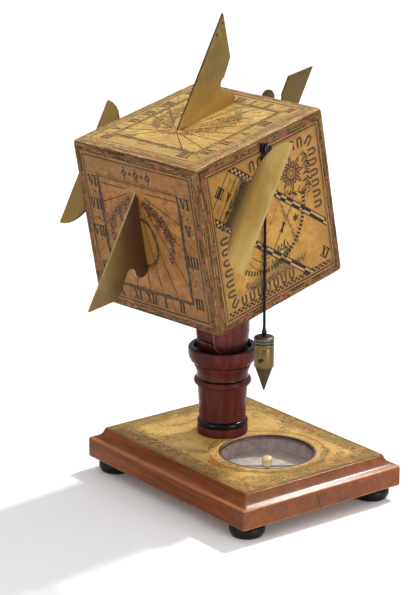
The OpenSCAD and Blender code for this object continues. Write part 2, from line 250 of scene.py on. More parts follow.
def ink_material(name, color, under, wear=0.5, scale=420, seed=0.0):
    """Printing ink or water colour, rubbed away in places so that the paper shows."""
    m = Mat(name)
    v = m.place(loc=(seed, 0.3 * seed, seed))
    a = m.noise(v, scale, 4, 0.7, 0.3)
    b = m.noise(v, 70, 3, 0.6, 0.5)
    f = m.math("ADD", m.math("MULTIPLY", a, 0.6), m.math("MULTIPLY", b, 0.4))
    m.link(m.mix(m.ramp(f, (0.50, 0.12 * wear), (0.66, wear)), color, under), "Base Color")
    m.link(m.ramp(a, (0.3, 0.45), (0.7, 0.65)), "Roughness")
    m.set(Specular_IOR_Level=0.16)
    return m.m


def wood_material(name, dark, mid, light, grain, rough, coat, seed=0.0, pores=0.5, fine=1300, broad=48, gloss=0.16, crack=None, spec=0.5, streaks=0.55, wear_and_painted_light_bands=None, bloom_and_sheen=None, end=None):
    """Polished wood with long streaks along the axis named in grain, broad figure and dark pores."""
    m = Mat(name)
    k = "XYZ".index(grain)

    def along(a, c):
        s = [c, c, c]
        s[k] = a
        return tuple(s)

    fig = m.noise(m.place(along(broad * 0.22, broad * 2.2), (seed, seed, seed)), 1.0, 5, 0.6, 1.6)
    streak = m.noise(m.place(along(fine * 0.03, fine * 0.55), (seed, 0, seed)), 1.0, 4, 0.65, 0.5)
    pore = m.noise(m.place(along(fine * 0.055, fine * 1.7), (0, seed, 0)), 1.0, 2, 0.5, 0.1)
    blot = m.noise(m.place(loc=(seed, seed, 0)), 70, 5, 0.65, 0.8)
    col = m.ramp(fig, (0.30, dark), (0.5, mid), (0.72, light))
    col = m.mix(m.ramp(streak, (0.35, streaks), (0.62, 0.0)), col, dark)
    col = m.mix(m.ramp(pore, (0.30, pores), (0.42, 0.0)), col, tuple(c * 0.3 for c in dark))
    col = m.mix(m.ramp(blot, (0.50, 0.0), (0.76, 0.6)), col, dark)
    if end:
        # duller end grain
        at, tone, amount = end
        col = m.mix(m.ramp(m.math("MULTIPLY", m.math("ABSOLUTE", m.axis(grain)), 1 / at), (0.975, 0.0), (1.0, amount)), col, tone)
    if bloom_and_sheen:
        # greyish bloom in the polish, in long uneven pale and dark streaks, partly a painted sheen along the turned
        # wood
        haze = m.noise(m.place(along(14, 230), (seed, seed, 0)), 1.0, 3, 0.55, 0.6)
        col = m.mix(m.ramp(haze, (0.50, 0.0), (0.72, bloom_and_sheen[1])), col, bloom_and_sheen[0])
        col = m.mix(m.ramp(haze, (0.28, bloom_and_sheen[1]), (0.46, 0.0)), col, tuple(c * 0.55 for c in dark))
    if wear_and_painted_light_bands:
        # bands along the height: on the plinth, pale rubbed arrises that are partly a painted highlight along them; on
        # the neck and tongue, painted shade darkening them towards the cup
        places, tone, amount = wear_and_painted_light_bands
        for at, reach in places:
            near = m.math("ABSOLUTE", m.math("SUBTRACT", m.axis("Z"), at))
            near = m.math("ADD", near, m.math("MULTIPLY", m.math("SUBTRACT", blot, 0.5), reach * 1.5))
            col = m.mix(m.ramp(m.math("MULTIPLY", near, 1 / reach), (0.3, amount), (1.0, 0.0)), col, tone)
    if crack:
        # a thin split across the side at one place, wandering a little
        side, at, across, lean = crack
        wob = m.math("MULTIPLY", m.math("SUBTRACT", m.noise(m.place(loc=(3, 0, 0)), 260, 3, 0.6), 0.5), 0.0022)
        d = m.math("SUBTRACT", m.math("SUBTRACT", m.axis(across), at), m.math("MULTIPLY", m.axis("Z"), lean))
        d = m.math("ABSOLUTE", m.math("ADD", d, wob))
        line = m.math("MULTIPLY", m.math("LESS_THAN", d, 0.00016), m.math("GREATER_THAN", m.axis(side[0]), side[1]))
        line = m.math("MULTIPLY", line, m.math("LESS_THAN", m.axis("Z"), 0.0135))
        col = m.mix(line, col, tuple(c * 0.12 for c in dark))
    m.link(col, "Base Color")
    m.link(m.ramp(streak, (0.3, rough + 0.14), (0.7, rough - 0.05)), "Roughness")
    m.set(Coat_Weight=coat, Coat_Roughness=gloss, Specular_IOR_Level=spec)
    m.bump(m.math("ADD", m.math("MULTIPLY", pore, 0.7), m.math("MULTIPLY", streak, 0.4)), 0.18, 0.00012)
    return m.m


def brass_material(name, base, tarnish, spot, rough, brush="Z", seed=0.0, metallic=1.0, foot=None):
    """Old lacquered metal: brushed along one axis, cloudy tarnish and a few dark spots, and a tone blended in towards a
    foot.
    """
    m = Mat(name)
    s = [900, 900, 900]
    s["XYZ".index(brush)] = 60
    br = m.noise(m.place(tuple(s), (seed, seed, 0)), 1.0, 3, 0.6, 0.2)
    cl = m.noise(m.place(loc=(seed, 0, seed)), 60, 5, 0.65, 0.6)
    sp = m.noise(m.place(loc=(0, seed, seed)), 520, 4, 0.75, 0.2)
    col = m.mix(m.ramp(cl, (0.38, 0.0), (0.68, 0.9)), base, tarnish)
    col = m.mix(m.ramp(br, (0.38, 0.35), (0.6, 0.0)), col, tarnish)
    col = m.mix(m.ramp(sp, (0.66, 0.0), (0.74, 0.8)), col, spot)
    # tone towards a foot: on the top and south plates a painted reflection of the paper beside them
    if foot:
        axis, at, reach, tone, amount = foot
        near = m.math("ABSOLUTE", m.math("SUBTRACT", m.math("ABSOLUTE", m.axis(axis)), at))
        near = m.math("ADD", near, m.math("MULTIPLY", m.math("SUBTRACT", cl, 0.5), 0.004))
        near = m.math("MULTIPLY", near, 1 / reach)
        col = m.mix(m.ramp(near, (0.30, amount), (0.62, amount * 0.55), (1.0, 0.0)), col, tone)
    m.link(col, "Base Color")
    m.link(m.ramp(m.math("ADD", m.math("MULTIPLY", br, 0.6), m.math("MULTIPLY", cl, 0.4)), (0.3, rough + 0.14), (0.7, rough - 0.06)), "Roughness")
    m.set(Metallic=metallic)
    m.bump(br, 0.12, 0.00008)
    return m.m


# ---------------------------------------------------------------- materials
def face_dirt(a, b, tone, amount, lo=0.62):
    return ((a, 0.0325), (b, 0.0325), tone, amount, lo)


# one paper in a copy per face, tuned face by face: the top lightest and the south darkest and reddest, partly painting
# the light and shade each face gets
PAPER = {
    "top": paper_material("paper_top", (0.565, 0.362, 0.100), (0.710, 0.495, 0.160), (0.36, 0.18, 0.042), 1.3, 0.5, face_dirt("X", "Y", (0.36, 0.20, 0.065), 0.55, 0.6)),
    "south": paper_material("paper_south", (0.322, 0.146, 0.036), (0.43, 0.208, 0.060), (0.182, 0.070, 0.019), 2.1, 0.5, face_dirt("X", "Z", (0.175, 0.082, 0.030), 0.6, 0.58), 0.85),
    "east": paper_material("paper_east", (0.415, 0.215, 0.042), (0.53, 0.300, 0.070), (0.265, 0.120, 0.024), 3.7, 0.5, face_dirt("Y", "Z", (0.26, 0.125, 0.034), 0.6, 0.58), 0.6),
    "west": paper_material("paper_west", (0.43, 0.225, 0.045), (0.52, 0.30, 0.07), (0.28, 0.13, 0.028), 4.9, 0.5, face_dirt("Y", "Z", (0.26, 0.12, 0.032), 0.55)),
    "north": paper_material("paper_north", (0.43, 0.22, 0.045), (0.52, 0.29, 0.07), (0.28, 0.13, 0.028), 5.6, 0.5, face_dirt("X", "Z", (0.26, 0.12, 0.032), 0.55)),
}
BORDER, EDGE = {}, {}
for _k, (_d, _m, _f, _p) in {"top": ((0.180, 0.095, 0.033), (0.345, 0.200, 0.070), (0.46, 0.290, 0.116), (0.65, 0.485, 0.27)),
                             "side": ((0.028, 0.013, 0.005), (0.118, 0.055, 0.018), (0.215, 0.110, 0.036), (0.37, 0.215, 0.078))}.items():
    for _i, _a in enumerate("XYZ"):
        BORDER[_k + _a] = border_material("border_%s_%s" % (_k, _a.lower()), _a, 6.4 + _i, _d, _m, _f, _p)
# rounded edges: the top sheets' edge is paler than the sides', partly wear and partly a painted highlight along it
EDGE["top"] = edge_material("worn_and_highlit_top", 7.7, (0.185, 0.097, 0.038), (0.375, 0.225, 0.098), (0.58, 0.42, 0.235), (0.84, 0.75, 0.60), 0.05)
EDGE["side"] = edge_material("worn_side", 8.9, (0.070, 0.033, 0.013), (0.165, 0.085, 0.032), (0.28, 0.165, 0.070), (0.55, 0.42, 0.26))
BASE_PAPER = paper_material("base_sheet", (0.550, 0.328, 0.079), (0.735, 0.482, 0.158), (0.35, 0.185, 0.044), 8.3, 0.45,
                            (("X", 0.051), ("Y", 0.0385), (0.17, 0.098, 0.022), 0.8, 0.70), 0.45)
UNDER = (0.36, 0.185, 0.045)
INK = ink_material("ink", (0.014, 0.010, 0.008), UNDER, 0.22, 600, 1.0)
INK_SOFT = ink_material("ink_soft", (0.042, 0.022, 0.012), UNDER, 0.38, 500, 2.0)
FRAME_INK = ink_material("ink_frame", (0.046, 0.031, 0.019), (0.19, 0.095, 0.036), 0.6, 420, 3.0)
GARLAND = ink_material("garland_brown", (0.048, 0.015, 0.012), UNDER, 0.30, 800, 4.0)
RED = ink_material("print_red", (0.250, 0.068, 0.034), (0.13, 0.062, 0.026), 0.6, 380, 5.0)
ORANGE = ink_material("print_orange", (0.43, 0.115, 0.026), UNDER, 0.45, 500, 5.5)
GREEN = ink_material("print_green", (0.095, 0.090, 0.022), UNDER, 0.40, 500, 6.0)
LEAF = ink_material("print_leaf", (0.070, 0.070, 0.026), UNDER, 0.4, 500, 6.2)
OLIVE = ink_material("print_olive", (0.098, 0.064, 0.019), UNDER, 0.42, 500, 6.5)
PURPLE = ink_material("print_purple", (0.165, 0.070, 0.048), UNDER, 0.45, 300, 7.0)
PINK = ink_material("print_pink", (0.36, 0.115, 0.060), UNDER, 0.45, 400, 8.0)
CREAM = ink_material("print_cream", (0.33, 0.205, 0.080), (0.14, 0.080, 0.035), 0.8, 500, 9.0)
SHADE = ink_material("print_shade", (0.30, 0.165, 0.048), UNDER, 0.6, 250, 9.5)
WASH = ink_material("print_wash", (0.20, 0.110, 0.045), UNDER, 0.9, 160, 9.8)
STREAK_D = ink_material("streak_dark", (0.024, 0.012, 0.006), (0.10, 0.050, 0.020), 0.6, 300, 10.5)
STREAK_M = ink_material("streak_brown", (0.20, 0.105, 0.038), (0.09, 0.045, 0.017), 0.7, 300, 10.7)
STREAK_L = ink_material("streak_fair", (0.36, 0.208, 0.072), (0.20, 0.105, 0.038), 0.7, 300, 10.9)
STREAK_G = ink_material("streak_grey", (0.150, 0.098, 0.066), (0.10, 0.055, 0.03), 0.7, 300, 10.2)
STREAK_O = ink_material("streak_olive", (0.130, 0.098, 0.030), (0.06, 0.035, 0.014), 0.7, 300, 10.4)
TEAL = ink_material("print_teal", (0.050, 0.072, 0.052), UNDER, 0.5, 300, 10.6)
INK_BOLD = ink_material("ink_bold", (0.010, 0.008, 0.007), UNDER, 0.10, 700, 1.4)
INK_TOP = ink_material("ink_top", (0.030, 0.020, 0.012), (0.62, 0.39, 0.11), 0.5, 500, 1.8)
RUB_D = ink_material("rub_brown", (0.23, 0.125, 0.045), (0.42, 0.255, 0.10), 0.7, 300, 11.1)
RUB_M = ink_material("rub_tan", (0.40, 0.235, 0.088), (0.55, 0.36, 0.15), 0.7, 300, 11.3)
RUB_P = ink_material("rub_pale", (0.60, 0.455, 0.260), (0.50, 0.33, 0.15), 0.7, 300, 11.5)
TOP_UNDER = (0.62, 0.39, 0.11)
TOP_RED = ink_material("spray_red", (0.40, 0.092, 0.026), TOP_UNDER, 0.65, 420, 11.7)
TOP_ORANGE = ink_material("spray_orange", (0.52, 0.190, 0.035), TOP_UNDER, 0.75, 420, 11.9)
TOP_GREEN = ink_material("spray_green", (0.130, 0.122, 0.030), TOP_UNDER, 0.58, 420, 12.1)
TOP_OLIVE = ink_material("spray_olive", (0.205, 0.152, 0.042), TOP_UNDER, 0.62, 420, 12.3)
TOP_BROWN = ink_material("spray_brown", (0.160, 0.075, 0.024), TOP_UNDER, 0.7, 420, 12.5)
SPRAY = ink_material("spray_vermilion", (0.47, 0.125, 0.030), TOP_UNDER, 0.5, 380, 12.9)
SOFT_GREEN = ink_material("soft_green", (0.225, 0.185, 0.048), TOP_UNDER, 0.8, 300, 12.2)
SOFT_BROWN = ink_material("soft_brown", (0.250, 0.130, 0.042), TOP_UNDER, 0.8, 300, 12.4)
TOP_LINE = ink_material("top_rule", (0.092, 0.056, 0.025), TOP_UNDER, 0.6, 420, 12.7)
YELLOW = ink_material("print_yellow", (0.295, 0.146, 0.034), (0.30, 0.135, 0.032), 0.9, 260, 9.9)
CREAM = ink_material("print_cream", (0.385, 0.228, 0.112), (0.33, 0.175, 0.055), 0.6, 360, 10.7)
LAPPET = ink_material("print_lappet", (0.040, 0.030, 0.013), UNDER, 0.3, 420, 10.3)

# walnut: the pale bands at the plinth's upper and lower arrises are partly rubbed wood and partly a painted highlight
# along them
WALNUT = wood_material("walnut", (0.102, 0.0255, 0.0062), (0.208, 0.053, 0.0125), (0.31, 0.090, 0.0225), "X", 0.42, 0.12, 0.4, 0.45, gloss=0.13,
                       crack=(("X", 0.0557), -0.0006, "Y", -0.25), spec=0.07, end=(0.0510, (0.128, 0.058, 0.034), 0.45), wear_and_painted_light_bands=(((0.0149, 0.0006), (0.0063, 0.0006)), (0.42, 0.165, 0.055), 0.6))
# mahogany: its purple-grey bloom streaks are partly a painted sheen
MAHOGANY = wood_material("mahogany", (0.050, 0.0103, 0.0092), (0.105, 0.0188, 0.0146), (0.163, 0.0320, 0.0206), "Z", 0.24, 0.10, 1.7, 0.15, gloss=0.05, spec=0.05, streaks=0.3, bloom_and_sheen=((0.062, 0.027, 0.031), 0.55))
# head wood: a lighter copy of the mahogany that paints in light on the shaded neck; its pale streaks are partly a
# painted sheen, and it is darkened towards the cup as painted shade
HEAD_WOOD = wood_material("head_wood", (0.058, 0.0124, 0.0120), (0.122, 0.0240, 0.0205), (0.205, 0.0430, 0.0310), "Z", 0.24, 0.10, 4.7, 0.15, gloss=0.05, spec=0.05, streaks=0.3, bloom_and_sheen=((0.160, 0.075, 0.070), 0.6),
                          wear_and_painted_light_bands=(((0.0600, 0.0050),), (0.008, 0.004, 0.005), 0.72))
# tongue wood: a darker copy of the mahogany as painted shade in the fork's slot, darkened further towards the cup as
# painted shade
TONGUE_WOOD = wood_material("tongue_wood", (0.048, 0.0110, 0.0120), (0.094, 0.0180, 0.0180), (0.145, 0.0290, 0.0260), "Z", 0.3, 0.05, 5.7, 0.15, gloss=0.12, spec=0.06, streaks=0.3,
                            wear_and_painted_light_bands=(((0.0600, 0.0088),), (0.008, 0.004, 0.005), 0.92))
WORN_HIGHLIT_WOOD = wood_material("worn_highlit_wood", (0.15, 0.045, 0.030), (0.26, 0.085, 0.055), (0.38, 0.14, 0.09), "Z", 0.3, 0.1, 5.9, 0.2, gloss=0.1, spec=0.2)
# near-black polish: the ebonised foot ring, and painted shade and dark reflection on the column's bead groove, rim and
# mouth
BLACK_RING_AND_SHADE = wood_material("black_ring", (0.003, 0.002, 0.005), (0.006, 0.004, 0.009), (0.010, 0.006, 0.012), "Z", 0.16, 0.24, 2.2, 0.3, gloss=0.06, spec=0.08)
PINE = wood_material("pine", (0.20, 0.105, 0.04), (0.33, 0.20, 0.085), (0.42, 0.27, 0.125), "Y", 0.6, 0.0, 2.9, 0.25)
EBONY = wood_material("ebonised", (0.004, 0.0035, 0.0035), (0.008, 0.007, 0.007), (0.013, 0.011, 0.010), "X", 0.40, 0.06, 3.3, 0.3, spec=0.16)
# top plate: its foot is blended to orange as a painted reflection of the lit top paper
BRASS = brass_material("brass", (0.212, 0.144, 0.033), (0.150, 0.096, 0.022), (0.040, 0.026, 0.010), 0.38, "Y", 0.5, 0.6, ("Y", 0.0375, 0.017, (0.47, 0.285, 0.066), 0.8))
# south plate: a darker copy of the brass, with a dark red-brown tone towards the south face as painted reflection and
# shade of that face
BRASS_SOUTH = brass_material("brass_south", (0.200, 0.127, 0.040), (0.130, 0.077, 0.024), (0.028, 0.017, 0.007), 0.38, "Y", 0.9, 0.6, ("X", 0.0375, 0.024, (0.088, 0.040, 0.0165), 0.88))
BRASS_NORTH = brass_material("brass_north", (0.142, 0.092, 0.019), (0.095, 0.060, 0.013), (0.030, 0.020, 0.008), 0.38, "Y", 1.2, 0.6, ("X", 0.0375, 0.016, (0.040, 0.026, 0.009), 0.85))
# east plate: a much lighter copy of the brass, standing in for the bright reflection it shows; darker towards the paper
BRASS_SIDE = brass_material("brass_side", (0.64, 0.445, 0.125), (0.44, 0.275, 0.068), (0.10, 0.065, 0.024), 0.40, "Y", 1.5, 0.5, ("X", 0.0, 0.0095, (0.125, 0.100, 0.052), 0.92))
BRASS_WEST = brass_material("brass_west", (0.300, 0.188, 0.042), (0.215, 0.128, 0.028), (0.045, 0.03, 0.012), 0.40, "Y", 1.8, 0.55, ("X", 0.0, 0.0098, (0.075, 0.055, 0.024), 0.95))
BRASS_EDGE = brass_material("brass_edge", (0.130, 0.086, 0.030), (0.075, 0.048, 0.017), (0.03, 0.02, 0.01), 0.42, "Y", 2.0, 0.7)
# pale brass for the edge faces of the south and east plates: a painted highlight along their style edges
BRASS_EDGE_HIGHLIGHT = brass_material("brass_edge_highlight", (0.44, 0.32, 0.145), (0.26, 0.175, 0.065), (0.12, 0.08, 0.03), 0.36, "Y", 2.2, 0.5)
BRASS_SMALL = brass_material("brass_small", (0.185, 0.126, 0.040), (0.100, 0.066, 0.022), (0.035, 0.024, 0.010), 0.34, "Z", 2.5, 0.85)
BRASS_CLEAN = brass_material("brass_clean", (1.0, 0.88, 0.38), (0.74, 0.55, 0.17), (0.30, 0.21, 0.07), 0.28, "Z", 3.5, 0.5)
BRASS_DULL = brass_material("brass_dull", (0.34, 0.265, 0.165), (0.13, 0.095, 0.060), (0.04, 0.03, 0.02), 0.30, "Z", 3.9, 0.9)
DARK_BRASS = brass_material("dark_brass", (0.13, 0.10, 0.062), (0.075, 0.056, 0.036), (0.02, 0.016, 0.012), 0.42, "Z", 4.5)
STEEL = brass_material("steel", (0.165, 0.150, 0.132), (0.050, 0.045, 0.038), (0.015, 0.012, 0.010), 0.36, "Z", 6.5)
PALE_STEEL = brass_material("pale_steel", (0.50, 0.47, 0.42), (0.30, 0.27, 0.23), (0.10, 0.07, 0.05), 0.3, "X", 7.1, 0.8)
IRON = brass_material("iron", (0.030, 0.028, 0.030), (0.014, 0.012, 0.014), (0.04, 0.02, 0.012), 0.32, "X", 8.5)
BLUED = brass_material("blued_steel", (0.035, 0.045, 0.085), (0.02, 0.022, 0.035), (0.02, 0.02, 0.02), 0.28, "X", 9.5)
LINING = paper_material("lining_card", (0.225, 0.142, 0.120), (0.34, 0.240, 0.215), (0.115, 0.062, 0.052), 9.1, 0.6, None, 0.6)
CARD = paper_material("compass_sheet", (0.52, 0.44, 0.375), (0.78, 0.71, 0.63), (0.27, 0.205, 0.165), 10.1, 0.6, None, 0.6)
FADED = ink_material("print_faded", (0.34, 0.25, 0.20), (0.58, 0.50, 0.43), 0.9, 300, 4.4)
PIT = ink_material("pit_dark", (0.010, 0.007, 0.004), (0.05, 0.032, 0.014), 0.6, 900, 3.3)


def glass_material():
    m = Mat("glass")
    n = m.noise(m.place(), 90, 3, 0.5, 0.3)
    m.set(Base_Color=(0.92, 0.95, 0.94, 1), Specular_IOR_Level=0.4, Alpha=0.035)
    m.link(m.ramp(n, (0.35, 0.02), (0.8, 0.12)), "Roughness")
    return m.m


def cord_material():
    m = Mat("waxed_thread")
    f = m.noise(m.place((2600, 2600, 900)), 1.0, 3, 0.6, 0.3)
    m.link(m.ramp(f, (0.3, (0.002, 0.0018, 0.0018)), (0.7, (0.011, 0.009, 0.008))), "Base Color")
    m.link(m.ramp(f, (0.3, 0.5), (0.7, 0.75)), "Roughness")
    m.set(Specular_IOR_Level=0.12)
    m.bump(f, 0.4, 0.0001)
    return m.m


def knot_material():
    m = Mat("shellacked_thread")
    f = m.noise(m.place((2200, 2200, 2200)), 1.0, 3, 0.6, 0.3)
    m.link(m.ramp(f, (0.3, (0.008, 0.005, 0.004)), (0.7, (0.040, 0.026, 0.018))), "Base Color")
    m.link(m.ramp(f, (0.3, 0.22), (0.7, 0.4)), "Roughness")
    m.bump(f, 0.4, 0.0001)
    return m.m


GLASS = glass_material()
CORD = cord_material()
KNOT = knot_material()


# ---------------------------------------------------------------- mesh helpers
def make(name, verts, faces, mats, idx=None, matrix=None, sharp=35.0, smooth=True):
    """A mesh object from points in millimetres."""
    me = bpy.data.meshes.new(name)
    me.from_pydata([Vector(v) * MM for v in verts], [], faces)
    for m in mats:
        me.materials.append(m)
    if idx is not None:
        me.polygons.foreach_set("material_index", idx)
    if smooth:
        me.shade_smooth()
        me.set_sharp_from_angle(angle=rad(sharp))
    me.update()
    ob = bpy.data.objects.new(name, me)
    scene.collection.objects.link(ob)
    if matrix is not None:
        ob.matrix_world = matrix
    return ob


def settle(ob, body, slot, *nodes):
    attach(ob, body)
    if nodes:
        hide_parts(*nodes)
    return ob


def arc(cx, cy, r, a0, a1, n):
    return [(cx + r * math.cos(rad(a0 + (a1 - a0) * k / n)), cy + r * math.sin(rad(a0 + (a1 - a0) * k / n)))
            for k in range(n + 1)]


def lathe(name, prof, mats, matrix=None, seg=96, sharp=32.0, idx_of=None):
    """A turned piece from a profile of (radius, height) points, from bottom to top."""
    verts, rings = [], []
    for r, z in prof:
        if r < 1e-6:
            rings.append([len(verts)])
            verts.append((0, 0, z))
        else:
            rings.append(list(range(len(verts), len(verts) + seg)))
            verts += [(r * math.cos(2 * math.pi * k / seg), r * math.sin(2 * math.pi * k / seg), z) for k in range(seg)]
    faces, idx = [], []
    for i, (a, b) in enumerate(zip(rings, rings[1:])):
        mi = idx_of(i) if idx_of else 0
        for k in range(seg):
            j = (k + 1) % seg
            if len(a) == 1 and len(b) == 1:
                continue
            if len(a) == 1:
                f = (a[0], b[j], b[k])
            elif len(b) == 1:
                f = (a[k], a[j], b[0])
            else:
                f = (a[k], a[j], b[j], b[k])
            faces.append(f)
            idx.append(mi)
    if len(rings[0]) > 1 and len(rings[-1]) > 1 and prof[0] == prof[-1]:
        pass
    return make(name, verts, faces, mats, idx, matrix, sharp)


def plate(name, outline, holes, mat, matrix, rim=None, thick=PLATE_T, bevel=0.14):
    """A flat plate from an outline, with softened edges, lying in local X and Y and centred on local Z."""
    cu = bpy.data.curves.new(name, "CURVE")
    cu.dimensions = "2D"
    cu.fill_mode = "BOTH"
    cu.extrude = (thick / 2 - bevel) * MM
    cu.bevel_depth = bevel * MM
    cu.bevel_resolution = 2
    cu.offset = -bevel * MM
    for ring in [outline] + holes:
        sp = cu.splines.new("POLY")
        sp.points.add(len(ring) - 1)
        for p, q in zip(sp.points, ring):
            p.co = (q[0] * MM, q[1] * MM, 0, 1)
        sp.use_cyclic_u = True
    tmp = bpy.data.objects.new(name + "_curve", cu)
    scene.collection.objects.link(tmp)
    bpy.context.view_layer.update()
    me = bpy.data.meshes.new_from_object(tmp.evaluated_get(bpy.context.evaluated_depsgraph_get()))
    bpy.data.objects.remove(tmp)
    bpy.data.curves.remove(cu)
    me.name = name
    bm = bmesh.new()
    bm.from_mesh(me)
    bmesh.ops.remove_doubles(bm, verts=bm.verts, dist=1e-7)
    bmesh.ops.recalc_face_normals(bm, faces=bm.faces)
    bm.to_mesh(me)
    bm.free()
    me.materials.clear()
    me.materials.append(mat)
    me.materials.append(rim or BRASS_EDGE)
    for f in me.polygons:
        f.material_index = 1 if abs(f.normal.z) < 0.3 else 0
    me.shade_smooth()
    me.set_sharp_from_angle(angle=rad(28))
    ob = bpy.data.objects.new(name, me)
    scene.collection.objects.link(ob)
    ob.matrix_world = matrix
    return ob


# ---------------------------------------------------------------- flat prints
class Print:
    """Flat printed shapes on one face, gathered into one mesh with a material for each ink."""

    def __init__(self, name, origin, u, v, n, matrix=None, lift=0.03, bend=False):
        self.bend = bend
        self.name, self.o, self.u, self.v, self.n = name, Vector(origin), Vector(u), Vector(v), Vector(n)
        self.matrix, self.lift = matrix, lift
        self.verts, self.faces, self.idx, self.mats = [], [], [], []
        self.clip = None
        self.count = 0

    def _mat(self, m):
        if m not in self.mats:
            self.mats.append(m)
        return self.mats.index(m)

    def _put(self, pts, faces, m, layer):
        mi, k = self._mat(m), len(self.verts)
        # a hair's breadth between shapes of one layer, so that no two share a plane
        self.count += 1
        up = self.lift + 0.008 * layer + 0.00007 * (self.count % 101)
        if self.bend:
            self.verts += [self.over(p, up) for p in pts]
        else:
            self.verts += [self.o + self.u * p[0] + self.v * p[1] + self.n * up for p in pts]
        self.faces += [tuple(i + k for i in f) for f in faces]
        self.idx += [mi] * len(faces)

    def over(self, p, up):
        """A point of the print on its sheet, which rounds over at the cube's edges."""
        core = HS - EDGE_R
        q = Vector((max(-core, min(core, p[0])), max(-core, min(core, p[1])), core))
        q += (Vector((p[0], p[1], HS)) - q).normalized() * (EDGE_R + up)
        return self.u * q.x + self.v * q.y + self.n * q.z

    def poly(self, pts, m, layer=1):
        if self.clip:
            pts = self.clip(pts)
            if not pts:
                return
        tris = tessellate_polygon([[Vector((p[0], p[1], 0)) for p in pts]])
        out = []
        for t in tris:
            a, b, c = (pts[i] for i in t)
            cross = (b[0] - a[0]) * (c[1] - a[1]) - (b[1] - a[1]) * (c[0] - a[0])
            if abs(cross) < 1e-9:
                continue
            out.append(t if cross > 0 else (t[0], t[2], t[1]))
        self._put(pts, out, m, layer)

    def stroke(self, pts, w, m, layer=1, closed=False, taper=None):
        """A ribbon along points; taper gives the width's share at (start, end)."""
        n = len(pts)
        left, right = [], []
        for i in range(n):
            a = pts[i - 1] if (i > 0 or closed) else pts[i]
            b = pts[(i + 1) % n] if (i < n - 1 or closed) else pts[i]
            dx, dy = b[0] - a[0], b[1] - a[1]
            d = math.hypot(dx, dy) or 1.0
            nx, ny = -dy / d, dx / d
            k = 1.0
            if 0 < i < n - 1 or closed:
                p = pts[i]
                ex, ey = p[0] - a[0], p[1] - a[1]
                e = math.hypot(ex, ey) or 1.0
                c = abs((ex / e) * (dx / d) + (ey / e) * (dy / d))
                k = 1.0 / max(c, 0.5)
            ww = w / 2 * k
            if taper:
                t = i / max(n - 1, 1)
                ww *= taper[0] + (taper[1] - taper[0]) * t
            left.append((pts[i][0] + nx * ww, pts[i][1] + ny * ww))
            right.append((pts[i][0] - nx * ww, pts[i][1] - ny * ww))
        faces = []
        for i in range(n if closed else n - 1):
            j = (i + 1) % n
            faces.append((n + i, n + j, j, i))
        self._put(left + right, faces, m, layer)

    def line(self, a, b, w, m, layer=1):
        self.stroke([a, b], w, m, layer)

    def rect_line(self, x0, y0, x1, y1, w, m, layer=1):
        for a, b in (((x0 - w / 2, y0), (x1 + w / 2, y0)), ((x1, y0), (x1, y1)),
                     ((x1 + w / 2, y1), (x0 - w / 2, y1)), ((x0, y1), (x0, y0))):
            self.stroke([a, b], w, m, layer)

    def box(self, x0, y0, x1, y1, m, layer=1):
        self.poly([(x0, y0), (x1, y0), (x1, y1), (x0, y1)], m, layer)

    def ellipse(self, cx, cy, rx, ry, m, layer=1, ang=0.0, n=14):
        c, s = math.cos(ang), math.sin(ang)
        self.poly([(cx + rx * math.cos(t) * c - ry * math.sin(t) * s, cy + rx * math.cos(t) * s + ry * math.sin(t) * c)
                   for t in (2 * math.pi * k / n for k in range(n))], m, layer)

    def ring(self, cx, cy, rx, ry, w, m, layer=1, n=64):
        self.stroke([(cx + rx * math.cos(2 * math.pi * k / n), cy + ry * math.sin(2 * math.pi * k / n)) for k in range(n)],
                    w, m, layer, True)

    def leaf(self, x, y, length, width, ang, m, layer=2):
        pts = []
        prof = ((0, 0), (0.18, 0.32), (0.42, 0.5), (0.68, 0.36), (0.88, 0.13), (1, 0))
        c, s = math.cos(ang), math.sin(ang)
        for t, k in prof:
            pts.append((t * length, k * width))
        for t, k in reversed(prof[1:-1]):
            pts.append((t * length, -k * width))
        self.poly([(x + px * c - py * s, y + px * s + py * c) for px, py in pts], m, layer)

    def rosette(self, x, y, r, petals, m, heart, layer=3, ang=0.0):
        for k in range(petals):
            a = ang + 2 * math.pi * k / petals
            self.ellipse(x + math.cos(a) * r * 0.55, y + math.sin(a) * r * 0.55, r * 0.48, r * 0.33, m, layer, a, 10)
        self.ellipse(x, y, r * 0.3, r * 0.3, heart, layer + 1, 0, 10)

    def garland(self, pts, m_leaf, m_leaf2, m_flower, size, layer=2, flower_every=4, stem=None):
        """Leaves in pairs along a curve, with a flower now and then."""
        if stem:
            self.stroke(pts, 0.3, stem, layer - 1)
        total, acc, k = 0.0, 0.0, 0
        for a, b in zip(pts, pts[1:]):
            d = math.hypot(b[0] - a[0], b[1] - a[1])
            ang = math.atan2(b[1] - a[1], b[0] - a[0])
            while acc <= d:
                t = acc / d
                x, y = a[0] + (b[0] - a[0]) * t, a[1] + (b[1] - a[1]) * t
                if flower_every and k % flower_every == flower_every // 2:
                    self.rosette(x, y, size * 0.62, 5, m_flower, GARLAND, layer + 1, k)
                else:
                    for s in (-1, 1):
                        w = 0.85 + 0.3 * rnd.random()
                        self.leaf(x, y, size * w, size * 0.46, ang + s * (0.75 + 0.25 * rnd.random()),
                                  m_leaf if (k + s) % 3 else m_leaf2, layer)
                k += 1
                acc += size * 0.62
            acc -= d
            total += d

